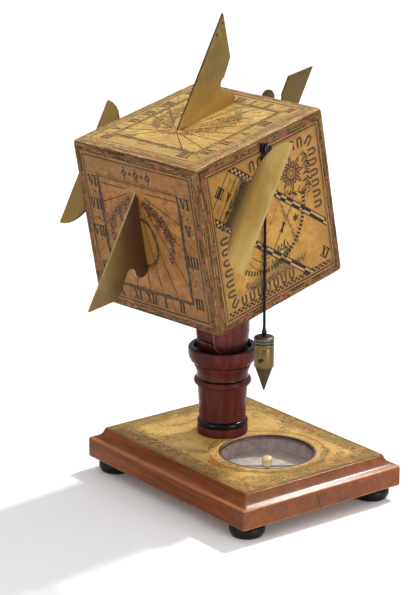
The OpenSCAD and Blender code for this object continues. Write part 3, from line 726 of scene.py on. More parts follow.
    def sprig(self, pts, size, leaves, buds, layer=2, stem=None, dense=1.0, bud=0.4):
        """A loose spray: thin stem, small leaves at uneven angles and a few buds."""
        if stem:
            self.stroke(pts, 0.2, stem, layer - 1)
        acc = rnd.random() * size * 0.3
        for a, b in zip(pts, pts[1:]):
            d = math.hypot(b[0] - a[0], b[1] - a[1])
            ang = math.atan2(b[1] - a[1], b[0] - a[0])
            while acc <= d:
                x, y = a[0] + (b[0] - a[0]) * acc / d, a[1] + (b[1] - a[1]) * acc / d
                for s in (-1, 1):
                    if rnd.random() < 0.85:
                        self.leaf(x, y, size * (0.6 + 0.7 * rnd.random()), size * (0.20 + 0.16 * rnd.random()),
                                  ang + s * (0.3 + 1.1 * rnd.random()), rnd.choice(leaves), layer)
                if rnd.random() < bud:
                    off = size * (rnd.random() - 0.5) * 1.3
                    bx, by = x - math.sin(ang) * off, y + math.cos(ang) * off
                    tone = rnd.choice(buds)
                    for _ in range(rnd.randint(3, 5)):
                        self.ellipse(bx + (rnd.random() - 0.5) * size * 0.55, by + (rnd.random() - 0.5) * size * 0.55,
                                     size * (0.15 + 0.1 * rnd.random()), size * 0.14, tone, layer + 1, rnd.random() * 3, 8)
                acc += size * (0.40 + 0.3 * rnd.random()) / dense
            acc -= d

    def festoon(self, pts, width, mats, layer=2, step=0.5):
        """A thick swag of small leaves and berries."""
        acc = 0.0
        for a, b in zip(pts, pts[1:]):
            d = math.hypot(b[0] - a[0], b[1] - a[1])
            ang = math.atan2(b[1] - a[1], b[0] - a[0])
            while acc <= d:
                x, y = a[0] + (b[0] - a[0]) * acc / d, a[1] + (b[1] - a[1]) * acc / d
                for q in range(3):
                    off = width * (rnd.random() - 0.5)
                    self.leaf(x - math.sin(ang) * off, y + math.cos(ang) * off, 0.9 + 0.9 * rnd.random(), 0.5 + 0.3 * rnd.random(),
                              ang + (rnd.random() - 0.5) * 2.8, rnd.choice(mats), layer + q % 2)
                acc += step
            acc -= d

    NUMS = {
        "I": (0.42, [[(-.12, 0), (.12, 0), (.12, 1), (-.12, 1)], [(-.22, 0), (.22, 0), (.18, .09), (-.18, .09)],
                     [(-.18, .91), (.18, .91), (.22, 1), (-.22, 1)]]),
        "V": (0.86, [[(-.40, 1), (-.14, 1), (.10, 0), (-.07, 0)], [(.24, 1), (.36, 1), (.07, 0), (-.02, 0)],
                     [(-.47, .91), (-.08, .91), (-.06, 1), (-.48, 1)], [(.15, .91), (.44, .91), (.46, 1), (.13, 1)]]),
        "X": (0.84, [[(-.40, 1), (-.13, 1), (.40, 0), (.13, 0)], [(.23, 1), (.35, 1), (-.23, 0), (-.35, 0)],
                     [(-.46, .91), (-.08, .91), (-.08, 1), (-.46, 1)], [(.11, .91), (.43, .91), (.43, 1), (.11, 1)],
                     [(-.43, 0), (-.11, 0), (-.11, .09), (-.43, .09)], [(.08, 0), (.46, 0), (.46, .09), (.08, .09)]]),
    }

    def numeral(self, text, x, y, size, ang, m, layer=4, squeeze=1.0):
        """A Roman number centred on (x, y), its top towards ang + 90 degrees."""
        wid = sum(self.NUMS[c][0] for c in text)
        at, c, s = -wid / 2, math.cos(ang), math.sin(ang)
        for ch in text:
            adv, polys = self.NUMS[ch]
            for p in polys:
                pts = []
                for px, py in p:
                    qx, qy = (at + adv / 2 + px) * size * squeeze, (py - 0.5) * size
                    pts.append((x + qx * c - qy * s, y + qx * s + qy * c))
                self.poly(pts, m, layer)
            at += adv

    def build(self):
        return make(self.name, self.verts, self.faces, self.mats, self.idx, self.matrix, smooth=False)


def bez(p0, p1, p2, p3, n=14):
    out = []
    for k in range(n + 1):
        t = k / n
        a, b, c, d = (1 - t) ** 3, 3 * t * (1 - t) ** 2, 3 * t * t * (1 - t), t ** 3
        out.append((a * p0[0] + b * p1[0] + c * p2[0] + d * p3[0], a * p0[1] + b * p1[1] + c * p2[1] + d * p3[1]))
    return out


def ray_to_box(x, y, dx, dy, x0, y0, x1, y1):
    """Where a ray from inside a box leaves it."""
    t = 1e9
    if dx > 1e-9:
        t = min(t, (x1 - x) / dx)
    if dx < -1e-9:
        t = min(t, (x0 - x) / dx)
    if dy > 1e-9:
        t = min(t, (y1 - y) / dy)
    if dy < -1e-9:
        t = min(t, (y0 - y) / dy)
    return (x + dx * t, y + dy * t)


FACES = {
    "south": ((0, -HS, 0), (1, 0, 0), (0, 0, 1), (0, -1, 0)),
    "north": ((0, HS, 0), (-1, 0, 0), (0, 0, 1), (0, 1, 0)),
    "east": ((HS, 0, 0), (0, 1, 0), (0, 0, 1), (1, 0, 0)),
    "west": ((-HS, 0, 0), (0, -1, 0), (0, 0, 1), (-1, 0, 0)),
    "top": ((0, 0, HS), (1, 0, 0), (0, 1, 0), (0, 0, 1)),
}
BAND = 32.4              # inner side of the printed border


# ---------------------------------------------------------------- cord and bob first
def plumb():
    pts = [(-LOOP_R,)] + [(-k,) for k in range(4, 77, 3)] + [(-(LINE_L - EYE_H),)]
    zs = [p[0] for p in pts]
    fine = []
    for a, b in zip(zs, zs[1:]):
        fine += [a + (b - a) * k / 6 for k in range(6)]
    fine.append(zs[-1])
    seg, verts, faces = 18, [], []
    r0 = LINE_D / 2
    for z in fine:
        tw = z * 2 * math.pi / 4.2
        for k in range(seg):
            t = 2 * math.pi * k / seg
            r = r0 * (0.90 + 0.10 * math.cos(3 * (t - tw)))
            verts.append((r * math.cos(t), r * math.sin(t), z))
    for i in range(len(fine) - 1):
        for k in range(seg):
            j = (k + 1) % seg
            faces.append((i * seg + k, (i + 1) * seg + k, (i + 1) * seg + j, i * seg + j))
    faces.append(tuple(range(seg)))
    faces.append(tuple(reversed(range((len(fine) - 1) * seg, len(fine) * seg))))
    at = Matrix.Translation(PEG)
    line = make("plumb_line", verts, faces, [CORD], None, at, 60)
    settle(line, "plumb", "cord", "plumb_cord")
    # loop of the line round the peg
    turn = at @ Matrix.Rotation(SW, 4, "Z")
    verts, faces, n, m = [], [], 40, 14
    for i in range(n):
        a = 2 * math.pi * i / n
        for k in range(m):
            b = 2 * math.pi * k / m
            r = r0 * (0.92 + 0.08 * math.cos(3 * b + 9 * a))
            verts.append((r * math.sin(b), (LOOP_R + r * math.cos(b)) * math.cos(a), (LOOP_R + r * math.cos(b)) * math.sin(a)))
    for i in range(n):
        for k in range(m):
            i2, k2 = (i + 1) % n, (k + 1) % m
            faces.append((i * m + k, i2 * m + k, i2 * m + k2, i * m + k2))
    loop = make("plumb_loop", verts, faces, [CORD], None, turn, 60)
    settle(loop, "plumb", "cord", "cord_loop")
    # whipping of several turns under the loop, with a short cut end
    turns, per, m, verts, faces = 9, 26, 8, [], []
    n = turns * per
    for i in range(n + 1):
        a = 2 * math.pi * i / per
        z = -1.7 - 7.2 * i / n
        rr = 0.86 + 0.22 * math.sin(math.pi * i / n) + 0.05 * math.sin(i * 0.37)
        for k in range(m):
            b = 2 * math.pi * k / m
            q = rr + 0.40 * math.cos(b)
            verts.append((q * math.cos(a) * 0.95, q * math.sin(a) * 1.2, z + 0.40 * math.sin(b)))
    for i in range(n):
        for k in range(m):
            k2 = (k + 1) % m
            faces.append((i * m + k, (i + 1) * m + k, (i + 1) * m + k2, i * m + k2))
    faces += [tuple(reversed(range(m))), tuple(range(n * m, n * m + m))]
    whip = make("plumb_whipping", verts, faces, [KNOT], None, turn, 70)
    settle(whip, "plumb", "cord")
    # bob, with its own origin at the top of the cap
    bob = Matrix.Translation(PEG - Vector((0, 0, LINE_L * MM))) @ Matrix.Rotation(SW, 4, "Z")
    r = BOB_D / 2
    eye = lathe("bob_knot", [(0, 0), (1.1, 0.02), (1.05, 0.25), (0.8, 0.55), (0.86, 0.8), (1.05, 1.2), (1.08, 1.7), (1.02, 2.2),
                             (0.82, 2.7), (0.74, 3.1), (0.68, 3.5), (0.5, EYE_H), (0, EYE_H)], [IRON], bob, 48)
    settle(eye, "plumb", "iron", "bob_eye")
    cap = lathe("bob_collar", [(0, -3.1), (r - 0.4, -3.1), (r - 0.35, -3.05), (r - 0.35, -2.75), (r - 0.05, -2.65), (r + 0.08, -2.55),
                               (r + 0.1, -2.4), (r + 0.1, -1.95), (r + 0.05, -1.8), (r - 0.08, -1.72), (r - 0.08, -1.58), (r + 0.05, -1.5),
                               (r + 0.1, -1.35), (r + 0.1, -0.75), (r, -0.5), (r - 0.2, -0.3), (r - 0.5, -0.12), (r - 0.9, -0.03),
                               (r - 1.6, 0.0), (0, 0)], [STEEL, IRON], bob, 96, 40,
                idx_of=lambda i: 1 if i in (1, 2, 3, 8, 9, 10) else 0)
    settle(cap, "plumb", "steel", "bob_cap")
    body = lathe("bob_barrel", [(0, -13.4), (r - 0.3, -13.4), (r - 0.12, -13.32), (r - 0.02, -13.1), (r, -12.8), (r, -5.0), (r - 0.05, -4.9),
                                (r - 0.05, -4.7), (r, -4.6), (r, -3.6), (r - 0.08, -3.35), (r - 0.3, -3.1), (0, -3.1)],
                 [BRASS_SMALL], bob, 96)
    settle(body, "plumb", "brass", "bob_body")
    # cross hole for a turning pin, drawn as a near-black patch a hair proud of the barrel, painting the shade inside
    # the hole
    a = rad(-65)
    out = Vector((math.cos(a), math.sin(a), 0))
    side = Vector((-math.sin(a), math.cos(a), 0))
    c = Vector((0, 0, -9.8))
    verts, faces, lob = [], [], [1 + 0.16 * math.sin(2.0 * q + 0.6) + 0.10 * math.sin(5.0 * q) for q in (2 * math.pi * k / 28 for k in range(28))]
    for rr, dep in ((1.12, -0.01), (1.05, 0.05), (0.85, 0.09), (0.5, 0.06), (0.22, 0.0)):
        for k in range(28):
            t = 2 * math.pi * k / 28
            y, z = rr * lob[k] * math.cos(t), rr * lob[k] * 0.92 * math.sin(t)
            verts.append(c + out * (math.sqrt(r * r - y * y) + dep) + side * y + Vector((0, 0, z)))
    for ring in range(4):
        for k in range(28):
            j = (k + 1) % 28
            faces.append((ring * 28 + k, ring * 28 + j, (ring + 1) * 28 + j, (ring + 1) * 28 + k))
    faces.append(tuple(112 + k for k in range(28)))
    hole = make("bob_pin_hole", verts, faces, [PIT], None, bob, 50)
    settle(hole, "plumb", "dark_brass")
    tip = lathe("bob_point", [(0, -24.2), (0.16, -24.15), (0.3, -23.9), (0.7, -22.8), (r * 0.5, -18.5), (r - 0.42, -13.72), (r - 0.3, -13.5),
                              (r - 0.3, -13.4), (0, -13.4)], [DARK_BRASS], bob, 96)
    settle(tip, "plumb", "dark_brass", "bob_tip")


plumb()


# ---------------------------------------------------------------- cube: papers with rounded edges
def sheet(face, paper):
    o, u, v, n = (Vector(x) for x in FACES[face])
    core = HS - EDGE_R
    steps = [-HS, -HS + 0.28, -HS + 0.58, -HS + 0.95, -HS + 1.4, -core, -34.9, -33.6, -BAND]
    steps += [-28 + 4 * k for k in range(15)]
    steps += [-s for s in reversed(steps[:9])]
    cnt = len(steps)
    verts, faces, idx = [], [], []
    w = rnd.random() * 20
    for a in steps:
        for b in steps:
            p = Vector((a, b, HS))
            q = Vector((max(-core, min(core, a)), max(-core, min(core, b)), core))
            d = p - q
            p = q + d.normalized() * EDGE_R
            if max(abs(a), abs(b)) > core - 0.01:   # worn, slightly uneven edges
                k = 0.06 * (math.sin(a * 0.9 + w) + math.sin(b * 1.1 + 2 * w) + math.sin((a + b) * 2.3 + w))
                p -= d.normalized() * (0.05 + 0.8 * k)
            verts.append(u * p.x + v * p.y + n * p.z)
    for i in range(cnt - 1):
        for j in range(cnt - 1):
            faces.append((i * cnt + j, (i + 1) * cnt + j, (i + 1) * cnt + j + 1, i * cnt + j + 1))
            ma, mb = abs(steps[i] + steps[i + 1]) / 2, abs(steps[j] + steps[j + 1]) / 2
            m = max(ma, mb)
            idx.append(0 if m < BAND else 3 if m > HS - 1.1 else 2 if ma > mb else 1)
    axes = ["XYZ"[max(range(3), key=lambda q: abs(w[q]))] for w in (u, v)]
    kind = "top" if face == "top" else "side"
    ob = make(face + "_sheet", verts, faces, [paper, BORDER[kind + axes[0]], BORDER[kind + axes[1]], EDGE[kind]], idx, CUBE, 60)
    settle(ob, "cube", "dial_paper", face + "_paper")
    return ob


for _f in FACES:
    sheet(_f, PAPER[_f])


def new_print(face):
    return Print(face + "_print", *FACES[face], matrix=CUBE, bend=True)


def border(pr, top=False):
    """Printed border: long rubbed streaks, dull leaves and red dabs between fine rules."""
    mid = (BAND + HS - 1.0) / 2
    streaks = (RUB_D, RUB_D, RUB_M, RUB_P, RUB_P, TOP_BROWN) if top else (STREAK_D, STREAK_D, STREAK_D, STREAK_M, STREAK_L, STREAK_L, STREAK_G, STREAK_O)
    leaves = (TOP_OLIVE, RUB_D, TOP_GREEN, TOP_BROWN) if top else (OLIVE, GREEN, GARLAND, STREAK_O, STREAK_D)
    reds = (TOP_RED, TOP_ORANGE, RUB_D) if top else (RED, RED, RED, GARLAND, STREAK_M)
    for side in range(4):
        a = side * math.pi / 2
        c, s = math.cos(a), math.sin(a)

        def at(t, d):
            return (t * c - d * s, t * s + d * c)

        for _ in range(80):
            d = BAND + 0.3 + (HS - 0.2 - BAND - 0.3) * rnd.random()
            t = -d + (2 * d - 4) * rnd.random()
            ln = min(2.5 + 13 * rnd.random(), d - t)
            wob = 0.4 * (rnd.random() - 0.5)
            pr.stroke([at(t, -d), at(t + ln * 0.33, -d + wob), at(t + ln * 0.67, -d - wob * 0.4), at(t + ln, -d)],
                      0.16 + 0.5 * rnd.random() ** 2, rnd.choice(streaks), 1, False, (0.35, 1.0))
        t = -32.5 + rnd.random()
        while t < 32.5:
            x, y = at(t, -mid + 0.5 * math.sin(t * 0.6 + side))
            for _ in range(3):
                pr.leaf(x + (rnd.random() - 0.5) * 2.4, y + (rnd.random() - 0.5) * 2.4, 1.1 + 1.3 * rnd.random(), 0.4 + 0.45 * rnd.random(),
                        a + rnd.choice((0.0, math.pi)) + (rnd.random() - 0.5) * 1.5, rnd.choice(leaves), 2)
            t += 1.7 + 2.2 * rnd.random()
        t = -30.0 + 9 * rnd.random()
        while t < 32:
            for _ in range(12 if top else 18):
                x, y = at(t + 3.6 * (rnd.random() - 0.5), -mid + 2.2 * (rnd.random() - 0.5))
                pr.ellipse(x, y, 0.5 + 0.7 * rnd.random(), 0.32 + 0.36 * rnd.random(), rnd.choice(reds), 3, a + (rnd.random() - 0.5) * 1.4, 8)
            t += (15 if top else 10.5) + 6 * rnd.random()
    pr.rect_line(-BAND, -BAND, BAND, BAND, 0.5, TOP_LINE if top else INK_SOFT, 5)
    pr.rect_line(-BAND - 0.75, -BAND - 0.75, BAND + 0.75, BAND + 0.75, 0.3, RUB_P if top else STREAK_L, 5)
    if not top:
        pr.rect_line(-BAND + 0.8, -BAND + 0.8, BAND - 0.8, BAND - 0.8, 0.26, WASH, 5)


def fleurons(pr, x, y, n, step, m=INK):
    """A row of small printer's flowers."""
    for k in range(n):
        cx = x + (k - (n - 1) / 2) * step
        big = k % 2 == 0
        s = 1.75 if big else 0.9
        pr.poly([(cx - s, y), (cx, y - s * 1.15), (cx + s, y), (cx, y + s * 1.15)], m, 3)
        if big:
            pr.poly([(cx - s * .5, y), (cx, y - s * .6), (cx + s * .5, y), (cx, y + s * .6)], PURPLE, 4)
            for sg in (-1, 1):
                pr.leaf(cx, y + sg * 1.9, 1.3, 0.9, sg * math.pi / 2, m, 3)


def south_print():
    pr = new_print("south")
    border(pr)
    tx, ty = NOON_X, 21.0
    x0, x1, y0, y1 = -24.4, 24.2, -25.2, 24.0
    # panel over the dial, kept to a row of printer's flowers
    fleurons(pr, 0.2, 28.4, 5, 3.6)
    pr.line((-BAND + 1.2, y1 + 1.0), (BAND - 1.2, y1 + 1.0), 0.22, INK_SOFT, 3)
    pr.line((x0, y1), (x1, y1), 0.5, FRAME_INK, 3)
    pr.line((x0, y1 - 0.7), (x1, y1 - 0.7), 0.2, INK_SOFT, 3)
    # shaded frame, a little unsteady
    for a, b in (((x0, y0 - 0.6), (x0, y1)), ((x1, y0 - 0.6), (x1, y1)), ((x0, y0), (x1, y0))):
        run = []
        for k in range(25):
            q = k / 24
            wob = 0.14 * math.sin(k * 1.3 + a[0]) + 0.12 * (rnd.random() - 0.5)
            run.append((a[0] + (b[0] - a[0]) * q + (wob if a[0] == b[0] else 0), a[1] + (b[1] - a[1]) * q + (0 if a[0] == b[0] else wob)))
        pr.stroke(run, 1.45, FRAME_INK, 2)
        for _ in range(46):
            q, off, ln = rnd.random() * 0.94, 2.0 * (rnd.random() - 0.5), 0.03 + 0.05 * rnd.random()
            p0, p1 = (a[0] + (b[0] - a[0]) * q, a[1] + (b[1] - a[1]) * q), (a[0] + (b[0] - a[0]) * (q + ln), a[1] + (b[1] - a[1]) * (q + ln))
            p0, p1 = ((p0[0] + off, p0[1]), (p1[0] + off, p1[1])) if a[0] == b[0] else ((p0[0], p0[1] + off), (p1[0], p1[1] + off))
            pr.line(p0, p1, 0.2 + 0.35 * rnd.random(), rnd.choice((FRAME_INK, STREAK_D, INK_SOFT, STREAK_M)), 3)
    # smudges where the numbers stand
    for x in (x0 - 2.6, x1 + 2.6):
        for _ in range(26):
            y = y0 + (y1 - y0) * rnd.random()
            pr.ellipse(x + 5.5 * (rnd.random() - 0.5), y, 0.3 + 0.7 * rnd.random(), 0.25 + 0.5 * rnd.random(), rnd.choice((SHADE, STREAK_M, STREAK_D, FRAME_INK)), 1, rnd.random() * 3, 8)
    # divisions on the frame at the quarter hours
    for q in range(-23, 24):
        hh = q / 4
        th = math.atan(math.cos(LAT) * math.tan(rad(15 * hh)))
        ex, ey = ray_to_box(tx, ty, math.sin(th), -math.cos(th), x0, y0, x1, y1)
        s = 1.0 if abs(ey - y0) > 0.01 else 0.0
        dx, dy = (math.copysign(1, ex), 0) if s else (0, -1)
        pr.line((ex - dx * 0.55, ey - dy * 0.55), (ex + dx * 0.55, ey + dy * 0.55), 0.22, INK if q % 2 == 0 else STREAK_M, 4)
    # hour lines and numbers
    names = {-6: "VI", -5: "VII", -4: "VIII", -3: "IX", -2: "X", -1: "XI", 0: "XII", 1: "I", 2: "II", 3: "III", 4: "IIII", 5: "V", 6: "VI"}
    for k, name in names.items():
        th = rad(90) * (1 if k > 0 else -1) if abs(k) == 6 else math.atan(math.cos(LAT) * math.tan(rad(15 * k)))
        dx, dy = math.sin(th), -math.cos(th)
        ex, ey = ray_to_box(tx, ty, dx, dy, x0 + 0.7, y0 + 0.7, x1 - 0.7, y1)
        start = 5.5 if abs(k) > 2 else 3.0
        pr.line((tx + dx * start, ty + dy * start), (ex, ey), 0.40, INK, 4)
        nx, ny = ray_to_box(tx, ty, dx, dy, x0 - 3.9, y0 - 3.4, x1 + 3.9, y1)
        ny = max(ny, y0 - 3.3)
        pr.numeral(name, nx, ny, 5.1, 0, INK, 5, 0.9 if 3 < abs(k) < 6 and len(name) < 4 else 0.8)
        if abs(k) > 3:
            for _ in range(22):      # the number's ground, darkened by handling
                pr.ellipse(nx + 6.4 * (rnd.random() - 0.5), ny + 4.6 * (rnd.random() - 0.5), 0.5 + 0.9 * rnd.random(), 0.3 + 0.5 * rnd.random(), rnd.choice((STREAK_M, STREAK_M, SHADE, STREAK_G)), 1, rnd.random() * 0.8, 8)
        # rules between the number boxes
        th2 = math.atan(math.cos(LAT) * math.tan(rad(15 * (k + 0.5)))) if k < 6 else None
        if th2 is not None:
            d2 = (math.sin(th2), -math.cos(th2))
            a = ray_to_box(tx, ty, *d2, x0 - 0.8, y0 - 0.8, x1 + 0.8, y1)
            b = ray_to_box(tx, ty, *d2, -BAND + 1, -BAND + 1, BAND - 1, y1)
            if abs(d2[0]) < 0.93:
                pr.line(a, b, 0.2, INK_SOFT, 3)
            pr.poly([(a[0] - .5, a[1]), (a[0], a[1] - .7), (a[0] + .5, a[1]), (a[0], a[1] + .7)], GARLAND, 5)
    for _ in range(12):
        pr.ellipse(x0 - 0.2 + 2.6 * (rnd.random() - 0.5), -4.8 + 3.0 * (rnd.random() - 0.5), 0.4 + 0.5 * rnd.random(), 0.3 + 0.4 * rnd.random(), TEAL, 4, rnd.random() * 3, 8)
    # festoons to both sides of the plate, and an oval wreath round it
    for s in (-1, 1):
        pts = bez((tx + s * 3.2, ty - 4.5), (tx + s * 9, ty - 8), (tx + s * 17, ty - 12), (tx + s * 18.4, ty - 19), 24)
        pr.festoon(pts, 3.0, (GARLAND, GARLAND, GARLAND, INK_SOFT, PURPLE, RED) if s > 0 else (PURPLE, PURPLE, GARLAND, RED, STREAK_M), 2, 0.33)
        pr.festoon(pts[3:], 5.0, (GARLAND, GARLAND, INK_SOFT, RED) if s > 0 else (PURPLE, RED, STREAK_M), 2, 0.5)
        for k, (x, y) in enumerate(pts[2:]):
            for off in (-0.9, 0.1, 1.0):
                pr.ellipse(x + 0.5 * (rnd.random() - 0.5) + 0.5 * off, y + 0.5 * (rnd.random() - 0.5) + 0.8 * off, 0.36 + 0.2 * rnd.random(), 0.34, INK_SOFT if (k + int(off)) % 3 else INK, 5, 0, 10)
                if rnd.random() < 0.4:
                    pr.ellipse(x + 0.9 * off, y + 0.2 * off, 0.3, 0.24, YELLOW, 6, 0, 8)
        pts = bez((tx + s * 18.4, ty - 19), (tx + s * 19, ty - 23), (tx + s * 17.6, ty - 26), (tx + s * 16.3, ty - 29))
        pr.festoon(pts, 1.9, (GARLAND, GARLAND, OLIVE, PURPLE, INK_SOFT), 2, 0.42)
        for k in range(3):
            pr.festoon(bez((tx + s * (7 + 4.5 * k), ty - 7.5 - 3.2 * k), (tx + s * (7.2 + 4.5 * k), ty - 9 - 3.2 * k), (tx + s * (7.4 + 4.4 * k), ty - 10 - 3.2 * k),
                           (tx + s * (6.8 + 4.4 * k), ty - 12 - 3.2 * k), 6), 1.2, (GARLAND, PURPLE, OLIVE), 2, 0.55)
    pr.ellipse(tx, -2.4, 9.0, 10.8, YELLOW, 1, 0, 40)
    pr.ring(tx, -2.4, 9.0, 10.8, 1.3, FRAME_INK, 2)
    for k in range(130):
        a = 2 * math.pi * k / 130
        r = 1.0 + 0.07 * rnd.gauss(0, 1)
        pr.leaf(tx + 9.1 * r * math.cos(a), -2.4 + 10.9 * r * math.sin(a), 1.0 + 0.9 * rnd.random(), 0.5 + 0.3 * rnd.random(), a + 1.57 + 0.9 * (rnd.random() - 0.5),
                rnd.choice((GARLAND, FRAME_INK, INK_SOFT, OLIVE, STREAK_M)), 3)
    settle(pr.build(), "cube", "dial_paper")


def top_print():
    pr = new_print("top")
    border(pr, True)
    tx, ty = NOON_X, -10.4
    x0, x1, y0, y1 = -24.6, 24.6, -24.6, 25.0
    for d, w, m in ((0.0, 1.0, TOP_LINE), (1.15, 0.3, TOP_LINE)):
        pr.rect_line(x0 - d, y0 - d, x1 + d, y1 + d, w, m, 3)
    names = {-8: "IIII", -7: "V", -6: "VI", -5: "VII", -4: "VIII", -3: "IX", -2: "X", -1: "XI", 0: "XII", 1: "I", 2: "II", 3: "III",
             4: "IIII", 5: "V", 6: "VI", 7: "VII", 8: "VIII"}

    def angle(hh):
        return math.atan2(math.sin(LAT) * math.sin(rad(15 * hh)), math.cos(rad(15 * hh)))

    for k, name in names.items():
        th = angle(k)
        dx, dy = math.sin(th), math.cos(th)
        pr.line((tx + dx * 2.5, ty + dy * 2.5), ray_to_box(tx, ty, dx, dy, x0, y0, x1, y1), 0.30, INK, 4)
        nx, ny = ray_to_box(tx, ty, dx, dy, x0 - 3.8, y0 - 3.8, x1 + 3.8, y1 + 3.6)
        turn = 0.0
        if nx <= x0 - 3.7:
            turn = math.pi / 2
        elif nx >= x1 + 3.7:
            turn = -math.pi / 2
        elif ny <= y0 - 3.7:
            turn = math.pi
        pr.numeral(name, nx, ny, 4.4, turn, INK_TOP, 5, 0.72)
        if k < 8:
            t2 = angle(k + 0.5)
            d2 = (math.sin(t2), math.cos(t2))
            pr.line(ray_to_box(tx, ty, *d2, x0 - 0.9, y0 - 0.9, x1 + 0.9, y1 + 0.9),
                    ray_to_box(tx, ty, *d2, -BAND + 1, -BAND + 1, BAND - 1, BAND - 1), 0.2, INK_SOFT, 3)
            for q in (0.25, 0.5, 0.75):
                t3 = angle(k + q)
                e = ray_to_box(tx, ty, math.sin(t3), math.cos(t3), x0, y0, x1, y1)
                pr.line((e[0] - math.sin(t3) * (2.6 if q == 0.5 else 1.5), e[1] - math.cos(t3) * (2.6 if q == 0.5 else 1.5)), e, 0.16, INK_SOFT, 4)
    # loose sprays on both sides of the plate, leafy at their far ends, and a few red buds by the toe
    lv, bd = (TOP_BROWN, TOP_OLIVE, TOP_OLIVE, TOP_GREEN, SOFT_BROWN, TOP_RED), (TOP_RED, TOP_ORANGE, TOP_BROWN)
    green = (TOP_GREEN, TOP_GREEN, TOP_GREEN, TOP_OLIVE, SOFT_GREEN)
    for s in (-1, 1):
        pr.sprig(bez((tx + s * 4, ty + 1), (tx + s * 10, ty + 4), (tx + s * 14, ty + 12), (tx + s * 12.5, ty + 25)), 2.8, lv, bd, 2, TOP_BROWN, 1.7, 0.35)
        pr.sprig(bez((tx + s * 7, ty + 2), (tx + s * 14, ty + 5), (tx + s * 18, ty + 13), (tx + s * 15.5, ty + 24)), 2.8, lv, bd, 2, TOP_OLIVE, 1.4, 0.3)
        pr.sprig(bez((tx + s * 10, ty + 16), (tx + s * 12, ty + 20), (tx + s * 13, ty + 24), (tx + s * 11, ty + 28)), 3.4, green, bd, 2, TOP_GREEN, 2.2, 0.2)
        pr.sprig(bez((tx + s * 13, ty + 9), (tx + s * 15, ty + 13), (tx + s * 16, ty + 17), (tx + s * 17, ty + 21)), 3.0, green, bd, 2, None, 1.4, 0.2)
        pr.sprig(bez((tx + s * 5, ty + 8), (tx + s * 8, ty + 10), (tx + s * 9, ty + 15), (tx + s * 7, ty + 19)), 2.2, (SOFT_GREEN, SOFT_BROWN, TOP_OLIVE), bd, 2, None, 1.1, 0.2)
    pr.sprig(bez((tx - 12, ty + 1), (tx - 18, ty + 4), (tx - 20, ty + 11), (tx - 18, ty + 19)), 3.0, green + (TOP_BROWN, SOFT_BROWN), bd, 2, TOP_OLIVE, 1.7, 0.3)
    pr.sprig(bez((tx - 9, ty - 1), (tx - 14, ty), (tx - 17, ty + 3), (tx - 18, ty + 8)), 2.4, lv, bd, 2, None, 1.2, 0.3)
    pr.sprig(bez((tx + 12, ty + 1), (tx + 17, ty + 4), (tx + 20, ty + 11), (tx + 19, ty + 18)), 2.4, (SOFT_GREEN, SOFT_BROWN, RUB_M), (TOP_ORANGE, SOFT_BROWN), 2, None, 1.0, 0.15)
    pr.sprig(bez((tx - 7, ty - 2.5), (tx - 2, ty - 4), (tx + 4, ty - 3), (tx + 10, ty + 0.5)), 2.0, (TOP_RED, TOP_ORANGE, TOP_BROWN), (TOP_RED,), 2, None, 1.1, 0.7)
    # rubbed brown band along the south side of the frame
    for _ in range(90):
        x, y = x0 + (x1 - x0) * rnd.random(), y0 + 2.2 * rnd.gauss(0, 0.6)
        ln = 1.5 + 4.5 * rnd.random()
        pr.stroke([(x, y), (min(x1, x + ln * 0.5), y + 0.2 * (rnd.random() - 0.5)), (min(x1 + 0.5, x + ln), y + 0.5 * (rnd.random() - 0.5))],
                  0.25 + 0.5 * rnd.random(), rnd.choice((RUB_M, RUB_D, RUB_D, TOP_BROWN)), 1, False, (0.15, 1.0))
    # rubbed streaks of old varnish
    for _ in range(260):
        x, y = -30 + 58 * rnd.random(), -30 + 58 * rnd.random()
        q = 0.30 + 0.35 * rnd.random()
        ln = 1.5 + 6 * rnd.random()
        pr.stroke([(x, y), (x + ln * 0.5 * math.cos(q), y + ln * 0.5 * math.sin(q) + 0.15), (min(31.5, x + ln * math.cos(q)), min(31.5, y + ln * math.sin(q)))],
                  0.2 + 0.5 * rnd.random(), rnd.choice((RUB_M, RUB_M, RUB_D, RUB_P, TOP_OLIVE)), 1, False, (0.15, 1.0))
    settle(pr.build(), "cube", "dial_paper")


